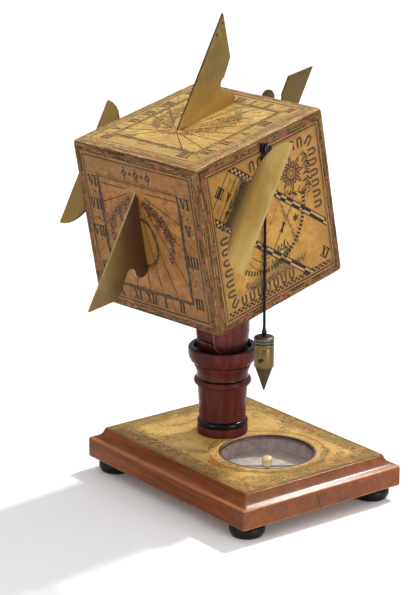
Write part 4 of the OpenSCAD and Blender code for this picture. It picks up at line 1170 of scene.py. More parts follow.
def side_print(face, names, first):
    """East or west dial: hour lines along the pole between two graduated rails, with a lappet frame."""
    pr = new_print(face)
    border(pr)
    east = face == "east"
    mir = 1 if east else -1
    c, s = math.cos(LAT), math.sin(LAT)

    def at(pol, off):
        x, y = pol * c - off * s, pol * s + off * c
        return (x * mir, y)

    lim = BAND - 0.9

    def inside(p):
        return abs(p[0]) < lim and abs(p[1]) < lim

    def clip(pts):
        """Keeps the part of a convex polygon that lies inside the rule of the border."""
        for ax, sg in ((0, 1), (0, -1), (1, 1), (1, -1)):
            out = []
            for i in range(len(pts)):
                a, b = pts[i - 1], pts[i]
                ia, ib = a[ax] * sg <= lim, b[ax] * sg <= lim
                if ia != ib:
                    t = (lim * sg - a[ax]) / (b[ax] - a[ax])
                    out.append((a[0] + (b[0] - a[0]) * t, a[1] + (b[1] - a[1]) * t))
                if ib:
                    out.append(b)
            pts = out
            if len(pts) < 3:
                return None
        return pts

    def off_of(hh):
        return SIDE_OFF - SIDE_H * math.tan(rad(15 * hh))

    pr.clip = clip
    rail = 10.1
    # graduated rails, in quarter hours
    q = -11
    while q < 21:
        o0, o1 = off_of(q / 4), off_of((q + 1) / 4)
        for sg in (-1, 1):
            a, b = (0.0, 1.2) if q % 2 == 0 else (1.2, 2.4)
            pr.poly([at(sg * (rail + a), o0), at(sg * (rail + b), o0), at(sg * (rail + b), o1), at(sg * (rail + a), o1)], INK_BOLD, 4)
        q += 1
    for sg in (-1, 1):
        pr.poly([at(sg * rail, 44), at(sg * (rail + 2.4), 44), at(sg * (rail + 2.4), -44.5), at(sg * rail, -44.5)], CREAM, 3)
        for d in (-0.05, 2.45):
            p = [at(sg * (rail + d) - 0.24, 44), at(sg * (rail + d) + 0.24, 44), at(sg * (rail + d) + 0.24, -44.5), at(sg * (rail + d) - 0.24, -44.5)]
            pr.poly(p, INK, 4)
    # hour and half-hour lines, with numbers on them
    for k, name in enumerate(names):
        hh = first + k
        o = off_of(hh)
        pr.poly([at(-rail, o - 0.2), at(rail, o - 0.2), at(rail, o + 0.2), at(-rail, o + 0.2)], INK, 3)
        if k < len(names) - 1 and hh < 4:
            o2 = off_of(hh + 0.5)
            pr.poly([at(-rail + 2.5, o2 - 0.11), at(rail - 2.5, o2 - 0.11), at(rail - 2.5, o2 + 0.11), at(-rail + 2.5, o2 + 0.11)], INK_SOFT, 3)
        x, y = at(0.2, o)
        if inside(at(0.2, o - 2.5)):
            pr.numeral(name, x, y, 4.7 if len(name) > 3 else 4.2, (LAT - rad(90)) * mir, INK_BOLD, 6, 0.56 if len(name) > 3 else 0.74)
        elif o < -30:
            pr.numeral(name, 28.4 * mir, -25.4, 4.8, (LAT - rad(90)) * mir, INK_BOLD, 6, 0.8)
    pr.clip = None
    # lappets round the sheet
    def lappet(x, y, ang):
        ca, sa = math.cos(ang), math.sin(ang)
        pts = [(-1.15, -0.4), (-1.15, 2.6)] + [(1.15 * math.cos(rad(180 - 22.5 * k)), 2.6 + 1.2 * math.sin(rad(180 - 22.5 * k))) for k in range(1, 8)] + [(1.15, 2.6), (1.15, -0.4)]
        q2 = [(x + a * ca - b * sa, y + a * sa + b * ca) for a, b in pts]
        pr.poly(q2, SHADE, 1)
        pr.stroke(q2, 1.0, LAPPET, 2)

    def between_rails(x, y, extra=3.4):
        return abs((x * mir) * c + y * s) < rail + extra

    # dark dabs along the foot of the plate
    for _ in range(110):
        x, y = at(-12.5 + 23 * rnd.random(), SIDE_OFF - 0.6 + 3.4 * rnd.random() ** 1.6)
        pr.ellipse(x, y, 0.4 + 0.9 * rnd.random(), 0.3 + 0.5 * rnd.random(), rnd.choice((OLIVE, STREAK_D, TEAL, STREAK_G, WASH)), 7, LAT * mir + (rnd.random() - 0.5), 8)
    for k in range(10):
        t = -21.6 + 4.8 * k
        for x, y, ang in ((t, -25.2, math.pi), (-26.2, t, math.pi / 2), (26.2, t, -math.pi / 2), (t, 26.2, 0)):
            mx, my = x - 1.8 * math.sin(ang), y + 1.8 * math.cos(ang)
            if not between_rails(mx, my):
                lappet(x, y, ang)
    for sx in (-1, 1):
        for sy in (-1, 1):
            if not between_rails(sx * 28.2, sy * 28) and sy * sx * mir > 0:
                lappet(sx * 25.6, sy * (25.6 if sy > 0 else 25.0), math.atan2(sy, sx) - math.pi / 2)
    # ladder along the foot of the sheet
    k, t = 0, -31.0
    while t < 31:
        pr.box(t, -31.5 if k % 2 else -30.6, t + 1.25, -30.6 if k % 2 else -29.7, INK_BOLD, 3)
        k += 1
        t += 1.25
    for y in (-31.5, -29.65):
        pr.line((-31.3, y), (31.3, y), 0.2, INK, 3)
    # graduated arc for the plumb line
    ax, ay, ar = -5.0 * mir, 5.0, 24.8
    lo, hi = -128, 4
    for d in (-0.85, 0.85):
        pr.stroke([((ax + (ar + d) * math.cos(rad(t)) * mir), ay + (ar + d) * math.sin(rad(t))) for t in range(lo, hi + 1, 3)], 0.16, INK, 3)
    for k, t in enumerate(range(lo, hi, 2)):
        if k % 2 == 0:
            p = [(ax + rr * math.cos(rad(tt)) * mir, ay + rr * math.sin(rad(tt)))
                 for rr, tt in ((ar - 0.85, t), (ar + 0.85, t), (ar + 0.85, t + 2), (ar - 0.85, t + 2))]
            pr.poly(p, INK_BOLD, 4)
    # washes of colour and foliage inside the arc, and a rayed sun among leaves over the rails
    g = lambda x, y: (x * mir, y)
    pr.poly([g(*q) for q in bez((-22, -24.2), (-14, -24.6), (2, -24.6), (13, -24.0)) + bez((13, -24.0), (11, -21.6), (9, -20.4), (6, -19.4))
             + bez((6, -19.4), (2, -21.2), (-6, -21.6), (-12, -20)) + bez((-12, -20), (-17, -21), (-20, -23), (-22, -24.2))], WASH, 1)
    pr.sprig([g(*q) for q in bez((-20, -22), (-10, -25), (4, -25), (16, -22))], 2.2, (STREAK_D, STREAK_M, OLIVE), (STREAK_M, OLIVE), 2, STREAK_M, 1.6, 0.3)
    for q in (bez((-3, -20.5), (-1, -15), (3, -12), (6, -12.5)), bez((-2, -20.5), (3, -19), (7, -17), (8, -14)), bez((-5, -20.5), (-8, -16), (-7, -13), (-4, -11))):
        pr.sprig([g(*w) for w in q], 2.8, (LEAF, LEAF, GREEN, INK_SOFT), (STREAK_M, OLIVE), 2, INK_SOFT, 1.5, 0.15)
    pr.poly([g(*q) for q in ((2.2, -17.8), (4.6, -15.2), (7.2, -15.0), (6.4, -18.0), (4.0, -19.4))], LEAF, 1)
    pr.poly([g(*q) for q in ((-2.6, -20.6), (-0.4, -17.2), (1.6, -17.0), (1.2, -19.6), (-0.6, -21.0))], LEAF, 1)
    for q in (bez((-16, -12.5), (-13, -17), (-10, -19), (-6, -19.6)), bez((-14, -10.5), (-11, -14), (-8, -16), (-4.5, -16.6))):
        pr.stroke([g(*w) for w in q], 0.35, INK_SOFT, 2)
    ribbon = [g(4 + 0.36 * k + 0.25 * math.sin(k * 1.1), 12 - 1.05 * k) for k in range(27)]
    pr.stroke(ribbon, 0.55, WASH, 1)
    pr.sprig(ribbon, 1.5, (STREAK_M, OLIVE, WASH), (STREAK_M, OLIVE), 2, None, 1.1, 0.2)
    for px, py in ((13.8, -3.4), (16.6, 1.0)):
        for k in range(6):
            q = k * math.pi / 3 + 0.3
            pr.leaf(px * mir, py, 2.2, 0.8, q, INK, 3)
    sx, sy = 14.6 * mir, 16.6
    for k in range(16):
        a = 2 * math.pi * k / 16
        ln = 8.2 if k % 2 == 0 else 5.8
        pr.leaf(sx + math.cos(a) * 2.6, sy + math.sin(a) * 2.6, ln - 2.6, 1.9, a, INK_SOFT if k % 2 else STREAK_D, 2)
        pr.leaf(sx + math.cos(a) * 3.0, sy + math.sin(a) * 3.0, ln - 3.8, 0.75, a, YELLOW, 3)
    pr.ellipse(sx, sy, 2.7, 2.7, YELLOW, 2, 0, 24)
    pr.ring(sx, sy, 2.7, 2.7, 0.75, INK_SOFT, 3, 32)
    pr.ring(sx, sy, 1.4, 1.4, 0.4, STREAK_D, 3, 24)
    for q in (bez((7.5, 8.0), (11, 9.4), (18, 8), (22.5, 4.5)), bez((5.8, 11), (4, 18), (6, 23), (11, 25.4)), bez((23.2, 24), (24.2, 18), (24, 12), (23, 7))):
        pr.sprig([g(*w) for w in q], 2.8, (INK_SOFT, STREAK_D, OLIVE, INK_SOFT), (STREAK_M, OLIVE), 2, INK_SOFT, 1.6, 0.2)
    settle(pr.build(), "cube", "dial_paper")


def north_print():
    pr = new_print("north")
    border(pr)
    tx, ty = -NOON_X, -4.5
    x0, x1, y0, y1 = -24.4, 24.4, -24.6, 25.0
    fleurons(pr, 0, -28.4, 7, 3.1)
    for a, b in (((x0, y0), (x0, y1 + .6)), ((x1, y0), (x1, y1 + .6)), ((x0, y1), (x1, y1)), ((x0, y0), (x1, y0))):
        pr.stroke([a, b], 1.35, FRAME_INK, 2)
        pr.stroke([a, b], 0.3, SHADE, 3)
    for side in (-1, 1):
        names = ("IIII", "V", "VI", "VII", "VIII") if side > 0 else ("VIII", "VII", "VI", "V", "IIII")
        for k, name in zip((4, 5, 6, 7, 8), names):
            th = math.atan2(math.cos(LAT) * math.sin(rad(15 * k)), math.cos(rad(15 * k)))
            dx, dy = side * math.sin(th), math.cos(th)
            pr.line((tx + dx * 4, ty + dy * 4), ray_to_box(tx, ty, dx, dy, x0, y0, x1, y1), 0.30, INK_SOFT, 4)
            nx, ny = ray_to_box(tx, ty, dx, dy, x0 - 3.9, y0 - 3.4, x1 + 3.9, y1 + 3.4)
            pr.numeral(name, nx, ny, 4.6, 0, INK, 5, 0.74)
    for s in (-1, 1):
        pr.festoon(bez((tx + s * 3, ty - 4), (tx + s * 10, ty - 12), (tx + s * 18, ty - 14), (tx + s * 19, ty - 5), 24), 2.6, (GARLAND, GARLAND, RED, OLIVE), 2)
        pr.sprig(bez((tx + s * 6, ty + 26), (tx + s * 10, ty + 22), (tx + s * 15, ty + 24), (tx + s * 18, ty + 16)), 2.4, (GREEN, OLIVE, GARLAND), (RED, ORANGE), 2, OLIVE, 1.3, 0.4)
    settle(pr.build(), "cube", "dial_paper")


south_print()
top_print()
side_print("east", ("IIII", "V", "VI", "VII", "VIII", "IX", "X", "XI"), -2)
side_print("west", ("VIII", "VII", "VI", "V", "IIII", "III", "II", "I"), -2)
north_print()


# ---------------------------------------------------------------- gnomon plates
def noon(outline, name, node, holes=(), mat=None, rim=None):
    """A plate in the noon plane, from points in the cube's Y and Z."""
    m = CUBE @ Matrix.Translation((NOON_X * MM, 0, 0)) @ Matrix(((0, 0, 1, 0), (1, 0, 0, 0), (0, 1, 0, 0), (0, 0, 0, 1)))
    return settle(plate(name, outline, list(holes), mat or BRASS, m, rim), "cube", "brass", node)


def hole(x, y, r):
    return [(x + r * math.cos(2 * math.pi * k / 20), y - r * math.sin(2 * math.pi * k / 20)) for k in range(20)]


T = math.tan(LAT)
TOE_T, RISE_T = -10.4, 41.0
ap = TOE_T + RISE_T / T
out = [(TOE_T, H - 0.6), (TOE_T, H), (ap - 0.15, H + RISE_T - 0.1), (ap + 0.05, H + RISE_T - 0.15), (ap + 0.6, H + 21.1)]
out += [(20.9, H + 14.1)]
out += [(21.3 + 3.3 * math.cos(rad(a)), H + 10.5 + 3.3 * math.sin(rad(a))) for a in range(98, 272, 8)]
out += [(21.8 + 3.5 * math.cos(rad(a)), H + 3.5 + 3.5 * math.sin(rad(a))) for a in range(88, -78, -8)]
out += [(22.0, H - 0.02), (22.0, H - 0.6)]
PINS = ((24.1, H + 37.0, 0.5), (20.0, H + 32.9, 0.55))
noon(out, "top_style", "top_gnomon", [hole(*q) for q in PINS])
for k, (py, pz, pr_) in enumerate(PINS):     # blackened stubs left in the two pin holes
    pm = CUBE @ Matrix.Translation((NOON_X * MM, py * MM, pz * MM)) @ Matrix.Rotation(rad(90), 4, "Y")
    settle(lathe("pin_stub_%d" % (k + 1), [(0, -0.42), (pr_ * 0.7, -0.45), (pr_ + 0.1, -0.38), (pr_ + 0.1, 0.38), (pr_ * 0.7, 0.45), (0, 0.42)], [PIT], pm, 24),
           "cube", "brass")

TOE_S, DROP_S = 21.0, 41.0
ap = -DROP_S / T
out = [(-H + 0.6, TOE_S + 0.5), (-H, TOE_S), (-H + ap + 0.1, TOE_S - DROP_S + 0.15), (-H + ap + 0.2, TOE_S - DROP_S - 0.05), (-H - 20.2, -21.2)]
out += bez((-H - 20.2, -21.2), (-H - 18.2, -20.4), (-H - 15.2, -16.0), (-H - 11.6, -11.35))[1:]
out += [(-H - 10.2 + 2.6 * math.cos(rad(a)), -13.5 + 2.6 * math.sin(rad(a))) for a in range(120, -8, -10)]
out += [(-H - 3.9 + 3.8 * math.cos(rad(a)), -13.3 + 3.8 * math.sin(rad(a))) for a in range(186, 350, 8)]
out += [(-H, -13.0), (-H + 0.6, -13.0)]
noon(list(reversed(out)), "south_style", "south_gnomon", (), BRASS_SOUTH, BRASS_EDGE_HIGHLIGHT)

TOE_N, RISE_N = -4.5, 42.0
ap = RISE_N / T
out = [(H - 0.6, TOE_N - 0.5), (H, TOE_N), (H + ap - 0.1, TOE_N + RISE_N - 0.15), (H + ap - 0.15, TOE_N + RISE_N + 0.02), (H + 21.4, 38.2), (H + 15.6, 31.3)]
out += [(H + 13.3 + 2.5 * math.cos(rad(a)), 30.6 + 2.5 * math.sin(rad(a))) for a in range(10, -176, -8)]
out += [(H + 7.3 + 3.7 * math.cos(rad(a)), 33.0 + 3.7 * math.sin(rad(a))) for a in range(-30, 172, 8)]
out += [(H + 2.0, 31.6), (H, 30.0), (H - 0.6, 30.0)]
noon(out, "north_style", "north_gnomon", (), BRASS_NORTH)


def moon():
    """Half-moon outline: X is the height over the paper, Y runs along the pole."""
    pts = [(-0.6, -9.5), (4.3, -9.5)]
    for k in range(16):
        t = rad(6 * k)
        pts.append((SIDE_H - 14.4 * math.cos(t), -9.6 - 17.1 * math.sin(t)))
    pts += [(SIDE_H, -26.6)]
    pts += [(SIDE_H, 31.1)]
    for k in range(15, -1, -1):
        t = rad(6 * k)
        pts.append((SIDE_H - 14.4 * math.cos(t), 11.05 + 20.15 * math.sin(t)))
    pts += [(4.25, 11.0), (-0.6, 11.0)]
    clean = [pts[0]]
    for p in pts[1:]:
        if math.hypot(p[0] - clean[-1][0], p[1] - clean[-1][1]) > 0.12:
            clean.append(p)
    return clean


for sgn, nm, mt, rim in ((1, "east", BRASS_SIDE, BRASS_EDGE_HIGHLIGHT), (-1, "west", BRASS_WEST, BRASS_EDGE)):
    m = CUBE @ Matrix.Rotation(LAT, 4, "X") @ Matrix.Translation((sgn * H * MM, -1.5 * MM, SIDE_OFF * MM))
    ob = plate(nm + "_style", moon(), [], mt, m, rim)
    if sgn < 0:
        ob.data.transform(Matrix.Diagonal((-1, 1, 1, 1)))
        ob.data.flip_normals()
    settle(ob, "cube", "brass", nm + "_gnomon")

# ---------------------------------------------------------------- peg of the plumb line
pegm = CUBE @ Matrix.Translation((H * MM, 0.6 * MM, 33.3 * MM)) @ Matrix.Rotation(rad(90), 4, "Y")
peg = lathe("plumb_hook", [(0, -0.6), (1.2, -0.6), (1.2, -0.02), (2.0, 0.0), (2.05, 0.2), (1.95, 0.45), (1.5, 0.6), (1.2, 0.75), (1.2, 2.95), (1.4, 3.05),
                           (1.9, 3.12), (2.02, 3.3), (2.0, 3.7), (1.85, 4.0), (1.5, 4.25), (0.9, 4.38), (0, 4.4)], [IRON, STEEL], pegm, 48,
            idx_of=lambda i: 1 if 2 <= i <= 6 or i == 12 else 0)
settle(peg, "cube", "iron", "plumb_peg")


# ---------------------------------------------------------------- plinth
def plinth():
    # inset from the side and height, round the whole plinth
    prof = [(3.0, 6.0), (1.0, 6.0), (0.45, 6.12), (0.12, 6.45), (0, 6.9), (0, 14.2), (0.1, 14.6), (0.35, 14.88), (0.7, 15.0), (1.1, 15.05)]
    r, cz = 5.4, 20.4
    for k in range(1, 13):
        a = rad(-78 - 94.5 * k / 12 + 0)
        prof.append((-r * math.cos(a) * -1 * -1 if False else r * abs(math.cos(a)) if a < rad(-90) else 1.1, cz + r * math.sin(a)))
    prof = [p for i, p in enumerate(prof) if i < 10 or p[0] >= 1.1]
    prof = sorted(prof[:10], key=lambda q: 0) + sorted(prof[10:], key=lambda q: q[1])
    prof = [p for p in prof if p[1] <= Z_TOP - 0.25] + [(5.32, Z_TOP - 0.2), (5.45, Z_TOP - 0.05), (5.7, Z_TOP), (8.0, Z_TOP)]
    seg, rings, verts = 6, [], []
    for d, z in prof:
        rc = max(0.5, 1.3 - d * 0.1)
        hx, hy = PL / 2 - d - rc, PW / 2 - d - rc
        ring = []
        for cx, cy, a0 in ((hx, hy, 0), (-hx, hy, 90), (-hx, -hy, 180), (hx, -hy, 270)):
            for k in range(seg + 1):
                a = rad(a0 + 90 * k / seg)
                ring.append(len(verts))
                verts.append((cx + rc * math.cos(a), cy + rc * math.sin(a), z))
        rings.append(ring)
    faces = []
    for a, b in zip(rings, rings[1:]):
        n = len(a)
        for k in range(n):
            j = (k + 1) % n
            faces.append((a[k], a[j], b[j], b[k]))
    faces.append(tuple(reversed(rings[0])))
    # top of the wood, open at the compass bowl, and the bowl itself
    me = make("plinth_block", verts, faces, [WALNUT], None, None, 38)
    bm = bmesh.new()
    bm.from_mesh(me.data)
    circ = []
    for k in range(96):
        a = 2 * math.pi * k / 96
        circ.append(bm.verts.new(((COMP.x + BOWL_R * math.cos(a)) * MM, (COMP.y + BOWL_R * math.sin(a)) * MM, Z_TOP * MM)))
    low = [bm.verts.new((v.co.x, v.co.y, Z_BOWL * MM)) for v in circ]
    bm.verts.ensure_lookup_table()
    top = [bm.verts[i] for i in rings[-1]]
    edges = [bm.edges.get((top[k], top[(k + 1) % len(top)])) for k in range(len(top))]
    edges += [bm.edges.new((circ[k], circ[(k + 1) % 96])) for k in range(96)]
    bmesh.ops.triangle_fill(bm, use_beauty=True, edges=edges, normal=(0, 0, 1))
    for k in range(96):
        j = (k + 1) % 96
        bm.faces.new((circ[k], low[k], low[j], circ[j]))
    bm.faces.new(low)
    bmesh.ops.recalc_face_normals(bm, faces=bm.faces)
    bm.to_mesh(me.data)
    bm.free()
    me.data.shade_smooth()
    me.data.set_sharp_from_angle(angle=rad(38))
    settle(me, "base", "walnut", "plinth")


plinth()


def base_sheet():
    """Printed sheet on the plinth, with a hole for the compass and one under the column."""
    hx, hy = PL / 2 - 5.75, PW / 2 - 5.75
    bm = bmesh.new()
    z = Z_SEAT * MM

    def loop(pts, zz):
        return [bm.verts.new((x * MM, y * MM, zz)) for x, y in pts]

    rect = []
    for cx, cy, a0 in ((hx - .5, hy - .5, 0), (-hx + .5, hy - .5, 90), (-hx + .5, -hy + .5, 180), (hx - .5, -hy + .5, 270)):
        rect += [(cx + .5 * math.cos(rad(a0 + 22.5 * k)), cy + .5 * math.sin(rad(a0 + 22.5 * k))) for k in range(5)]
    circ = [(COMP.x + 21.25 * math.cos(2 * math.pi * k / 96), COMP.y + 21.25 * math.sin(2 * math.pi * k / 96)) for k in range(96)]
    hub = [(COL.x + 6.05 * math.cos(2 * math.pi * k / 48), COL.y + 6.05 * math.sin(2 * math.pi * k / 48)) for k in range(48)]
    edges = []
    for pts in (rect, circ, hub):
        up, dn = loop(pts, z), loop(pts, Z_TOP * MM)
        n = len(pts)
        for k in range(n):
            j = (k + 1) % n
            edges.append(bm.edges.new((up[k], up[j])))
            bm.faces.new((dn[k], dn[j], up[j], up[k]))
    bmesh.ops.triangle_fill(bm, use_beauty=True, edges=edges, normal=(0, 0, 1))
    bmesh.ops.recalc_face_normals(bm, faces=bm.faces)
    me = bpy.data.meshes.new("base_sheet")
    bm.to_mesh(me)
    bm.free()
    me.materials.append(BASE_PAPER)
    ob = bpy.data.objects.new("base_sheet", me)
    scene.collection.objects.link(ob)
    settle(ob, "base", "base_paper", "plinth_paper")

    pr = Print("base_print", (0, 0, Z_SEAT), (1, 0, 0), (0, 1, 0), (0, 0, 1), lift=0.03)
    bx, by = hx - 1.0, hy - 1.0
    pr.rect_line(-hx + 0.55, -hy + 0.55, hx - 0.55, hy - 0.55, 0.9, TOP_BROWN, 2)
    pr.rect_line(-bx + 0.5, -by + 0.5, bx - 0.5, by - 0.5, 0.5, TOP_OLIVE, 2)
    pr.rect_line(-bx + 7.0, -by + 7.0, bx - 7.0, by - 7.0, 0.5, SOFT_BROWN, 2)

    def clear(x, y, m):
        return math.hypot(x - COMP.x, y - COMP.y) > 21.6 + m and math.hypot(x - COL.x, y - COL.y) > 11.6 + m

    lv, bd = (TOP_GREEN, TOP_OLIVE, TOP_OLIVE, RUB_D, RUB_M), (TOP_ORANGE, TOP_RED, TOP_ORANGE, RUB_D)
    mid = 3.4
    runs = [((-bx + mid, -by + mid), (bx - mid, -by + mid)), ((bx - mid, -by + mid), (bx - mid, by - mid)),
            ((bx - mid, by - mid), (-bx + mid, by - mid)), ((-bx + mid, by - mid), (-bx + mid, -by + mid))]
    for a, b in runs:
        d = math.hypot(b[0] - a[0], b[1] - a[1])
        ux, uy = (b[0] - a[0]) / d, (b[1] - a[1]) / d
        t = 1.0
        while t < d:
            off, tone = 5.4 * (rnd.random() - 0.5), rnd.choice((TOP_GREEN, SOFT_GREEN, SOFT_GREEN, TOP_BROWN, SOFT_BROWN, SOFT_BROWN))
            lean = math.atan2(uy, ux) + (rnd.random() - 0.5) * 1.6
            for _ in range(rnd.randint(6, 11)):
                du, dv = 1.5 * rnd.gauss(0, 1), 0.7 * rnd.gauss(0, 1)
                x, y = a[0] + ux * (t + du) - uy * (off + dv), a[1] + uy * (t + du) + ux * (off + dv)
                if abs(x) < bx - 0.8 and abs(y) < by - 0.8:
                    pr.leaf(x, y, 1.3 + 1.7 * rnd.random(), 0.9 + 0.7 * rnd.random(), lean + rnd.choice((0, math.pi)) + (rnd.random() - 0.5),
                            tone if rnd.random() < 0.7 else rnd.choice((RUB_M, SOFT_BROWN, TOP_OLIVE)), 1 + (_ % 2))
            t += 1.1 + 1.2 * rnd.random()
        t = 4.0
        while t < d - 3:
            x, y = a[0] + ux * t + (rnd.random() - 0.5), a[1] + uy * t + (rnd.random() - 0.5) * 2
            tone = rnd.choice((SPRAY, TOP_RED, SPRAY))
            for _ in range(14):
                q, r = rnd.random() * 6.3, 1.7 * rnd.random() ** 0.6
                pr.ellipse(x + r * math.cos(q), y + r * math.sin(q), 0.4 + 0.25 * rnd.random(), 0.32, tone if rnd.random() < 0.8 else RUB_D, 5, rnd.random() * 3, 8)
            t += 9 + 6 * rnd.random()
    # rings round the compass
    for rr, w, m in ((22.0, 0.4, RUB_M), (25.4, 0.7, SOFT_BROWN)):
        pts = [(COMP.x + rr * math.cos(2 * math.pi * k / 120), COMP.y + rr * math.sin(2 * math.pi * k / 120)) for k in range(121)]
        run = []
        for q in pts:
            if abs(q[0]) < bx - 7.2 and abs(q[1]) < by - 7.2 and math.hypot(q[0] - COL.x, q[1] - COL.y) > 11.7:
                run.append(q)
            else:
                if len(run) > 1:
                    pr.stroke(run, w, m, 2)
                run = []
        if len(run) > 1:
            pr.stroke(run, w, m, 2)
    for _ in range(170):
        q, r = rnd.random() * 6.3, 22.2 + 5.0 * rnd.random()
        x, y = COMP.x + r * math.cos(q), COMP.y + r * math.sin(q)
        if abs(x) < bx - 1 and abs(y) < by - 1 and clear(x, y, 1.2):
            pr.leaf(x, y, 1.0 + 1.8 * rnd.random(), 0.4 + 0.5 * rnd.random(), q + 1.57 + (rnd.random() - 0.5), rnd.choice((SOFT_GREEN, SOFT_BROWN, RUB_M, RUB_M, TOP_OLIVE)), 1)
    for _ in range(150):
        # lip rubbed pale, with olive smears outside it
        q, r = 6.2832 * rnd.random(), 21.75 + 0.5 * rnd.random()
        ln = (2.0 + 4.0 * rnd.random()) / r
        pr.stroke([(COMP.x + r * math.cos(q + ln * k / 4), COMP.y + r * math.sin(q + ln * k / 4)) for k in range(5)],
                  0.2 + 0.35 * rnd.random(), rnd.choice((RUB_P, RUB_P, RUB_P, RUB_M)), 3, False, (0.15, 1.0))
    for _ in range(220):
        q, r = 0.45 * rnd.gauss(0, 1), 25.4 + 0.8 * rnd.gauss(0, 1)
        ln = (1.5 + 4.0 * rnd.random()) / r
        run = [(COMP.x + r * math.cos(q + ln * k / 4), COMP.y + r * math.sin(q + ln * k / 4)) for k in range(5)]
        if all(abs(x) < bx - 1 and abs(y) < by - 1 for x, y in run):
            pr.stroke(run, 0.35 + 0.6 * rnd.random(), rnd.choice((TOP_OLIVE, TOP_GREEN, SOFT_GREEN, TOP_BROWN)), 2, False, (0.15, 1.0))
    # sprays on the field
    for q in (bez((-44, -28), (-36, -30), (-28, -27), (-22, -22)), bez((-44, 27), (-36, 29), (-28, 28), (-20, 23)), bez((-43, -24), (-44, -12), (-42, 8), (-43, 22)),
              bez((-36, -18), (-32, -10), (-34, 6), (-33, 16)), bez((36, 26), (40, 24), (42, 20), (42, 14)), bez((34, -27), (40, -25), (42, -20), (42, -13)),
              bez((-8, -27), (-3, -25), (0, -22), (2, -20)), bez((-6, 28), (-1, 26), (2, 23), (3, 21))):
        for k, (x, y) in enumerate(q):
            for _ in range(4):
                u, w = x + 1.1 * rnd.gauss(0, 1), y + 1.1 * rnd.gauss(0, 1)
                if clear(u, w, 1.6):
                    pr.leaf(u, w, 1.0 + 1.4 * rnd.random(), 0.45 + 0.5 * rnd.random(), 6.3 * rnd.random(), rnd.choice((SOFT_GREEN, SOFT_GREEN, RUB_M, SOFT_BROWN, RUB_M)), 2)
    for x, y in ((10.5, -25.0), (13.5, -26.5), (16.5, -27.0), (19.5, -26.4), (40, 0), (41, 6)):
        for _ in range(24):
            q, r = rnd.random() * 6.3, 2.2 * rnd.random() ** 0.6
            if clear(x + r * math.cos(q), y + r * math.sin(q), 0.6):
                pr.ellipse(x + r * math.cos(q), y + r * math.sin(q), 0.5, 0.36, SPRAY if rnd.random() < 0.7 else TOP_RED, 5, rnd.random() * 3, 8)
    settle(pr.build(), "base", "base_paper")


base_sheet()


# ---------------------------------------------------------------- feet
def feet():
    prof = [(0, 0.0), (5.6, 0.0), (6.3, 0.15), (6.9, 0.7)] + arc(4.8, 3.0, 2.9, -42, 52, 10) + [(6.2, 5.55), (5.4, 5.8), (5.1, 5.98), (0, 5.98)]
    for nm, sx, sy in (("foot_front_west", -1, -1), ("foot_front_east", 1, -1), ("foot_back_west", -1, 1), ("foot_back_east", 1, 1)):
        at = Matrix.Translation((sx * (PL / 2 - FOOT_IN) * MM, sy * (PW / 2 - FOOT_IN) * MM, 0))
        settle(lathe(nm.replace("foot", "bun"), prof, [EBONY], at, 64), "base", "ebonised", nm)


feet()


# ---------------------------------------------------------------- column and head
def column():
    z = Z_SEAT
    p = [(0, 0.0), (10.8, 0.0), (11.05, 0.1), (11.25, 0.4), (11.3, 0.8), (11.3, 3.3), (11.15, 3.7), (10.75, 3.95), (10.4, 4.02)]
    p += [(r, q) for r, q in arc(10.0, 5.35, 1.42, -66, 66, 12)]
    p += [(10.38, 6.72), (10.34, 7.1), (10.36, 9), (10.45, 12), (10.62, 16), (10.85, 19.6), (10.98, 20.8), (11.1, 21.6), (11.2, 22.3), (11.3, 22.8)]
    low_bead = len(p)
    p += arc(11.0, 24.3, 1.75, -72, 72, 14)
    p += [(11.42, 26.1), (11.3, 26.4), (11.34, 27.6), (11.5, 28.8), (11.8, 29.8), (12.0, 30.3), (11.82, 30.42), (11.78, 30.6), (11.78, 30.85), (11.95, 30.98),
          (12.4, 31.08), (12.5, 31.25), (12.5, 31.75), (12.42, 31.95), (12.2, 32.1), (12.25, 32.35), (13.0, 32.75), (13.75, 33.35), (14.25, 34.0), (14.65, 34.8),
          (14.92, 35.6), (15.1, 36.4), (15.18, 37.2), (15.2, 38.0), (15.2, 39.2)]
    rim = len(p)
    p += arc(13.8, 39.2, 1.4, 6, 104, 12)
    p += [(13.1, 40.5), (12.85, 40.45), (12.6, 40.2), (12.5, 39.6), (12.38, 38.8), (12.1, 37.9), (11.8, 37.6), (11.4, 37.55), (5.1, 37.55), (5.0, 37.4), (5.0, 26), (0, 26)]

    def ring_of(i):
        # black: the foot ring, which is ebonised; the groove over the bead, the rim's top and the mouth, made black as
        # painted shade and dark reflection in the cup
        return 1 if 11 <= i <= 22 or low_bead + 12 <= i <= low_bead + 15 or i >= rim + 4 else 0

    settle(lathe("turned_column", p, [MAHOGANY, BLACK_RING_AND_SHADE], Matrix.Translation((COL.x * MM, COL.y * MM, z * MM)), 128, 40, ring_of), "base", "mahogany", "column")


column()


def dress(node, mat):
    o = N[node]
    o.data.materials.clear()
    o.data.materials.append(mat)


_bv = N["fork_head"].modifiers.new("soft_edges", "BEVEL")
_bv.width = 0.8 * MM
_bv.segments = 3
_bv.limit_method = "ANGLE"
_bv.angle_limit = rad(40)
for _n, _m in (("fork_head", HEAD_WOOD), ("tongue", TONGUE_WOOD), ("tilt_pin", BRASS_SMALL), ("bottom_board", PINE), ("top_board", PINE),
               ("south_board", PINE), ("north_board", PINE), ("east_board", PINE), ("west_board", PINE), ("compass_pivot", STEEL)):
    dress(_n, _m)


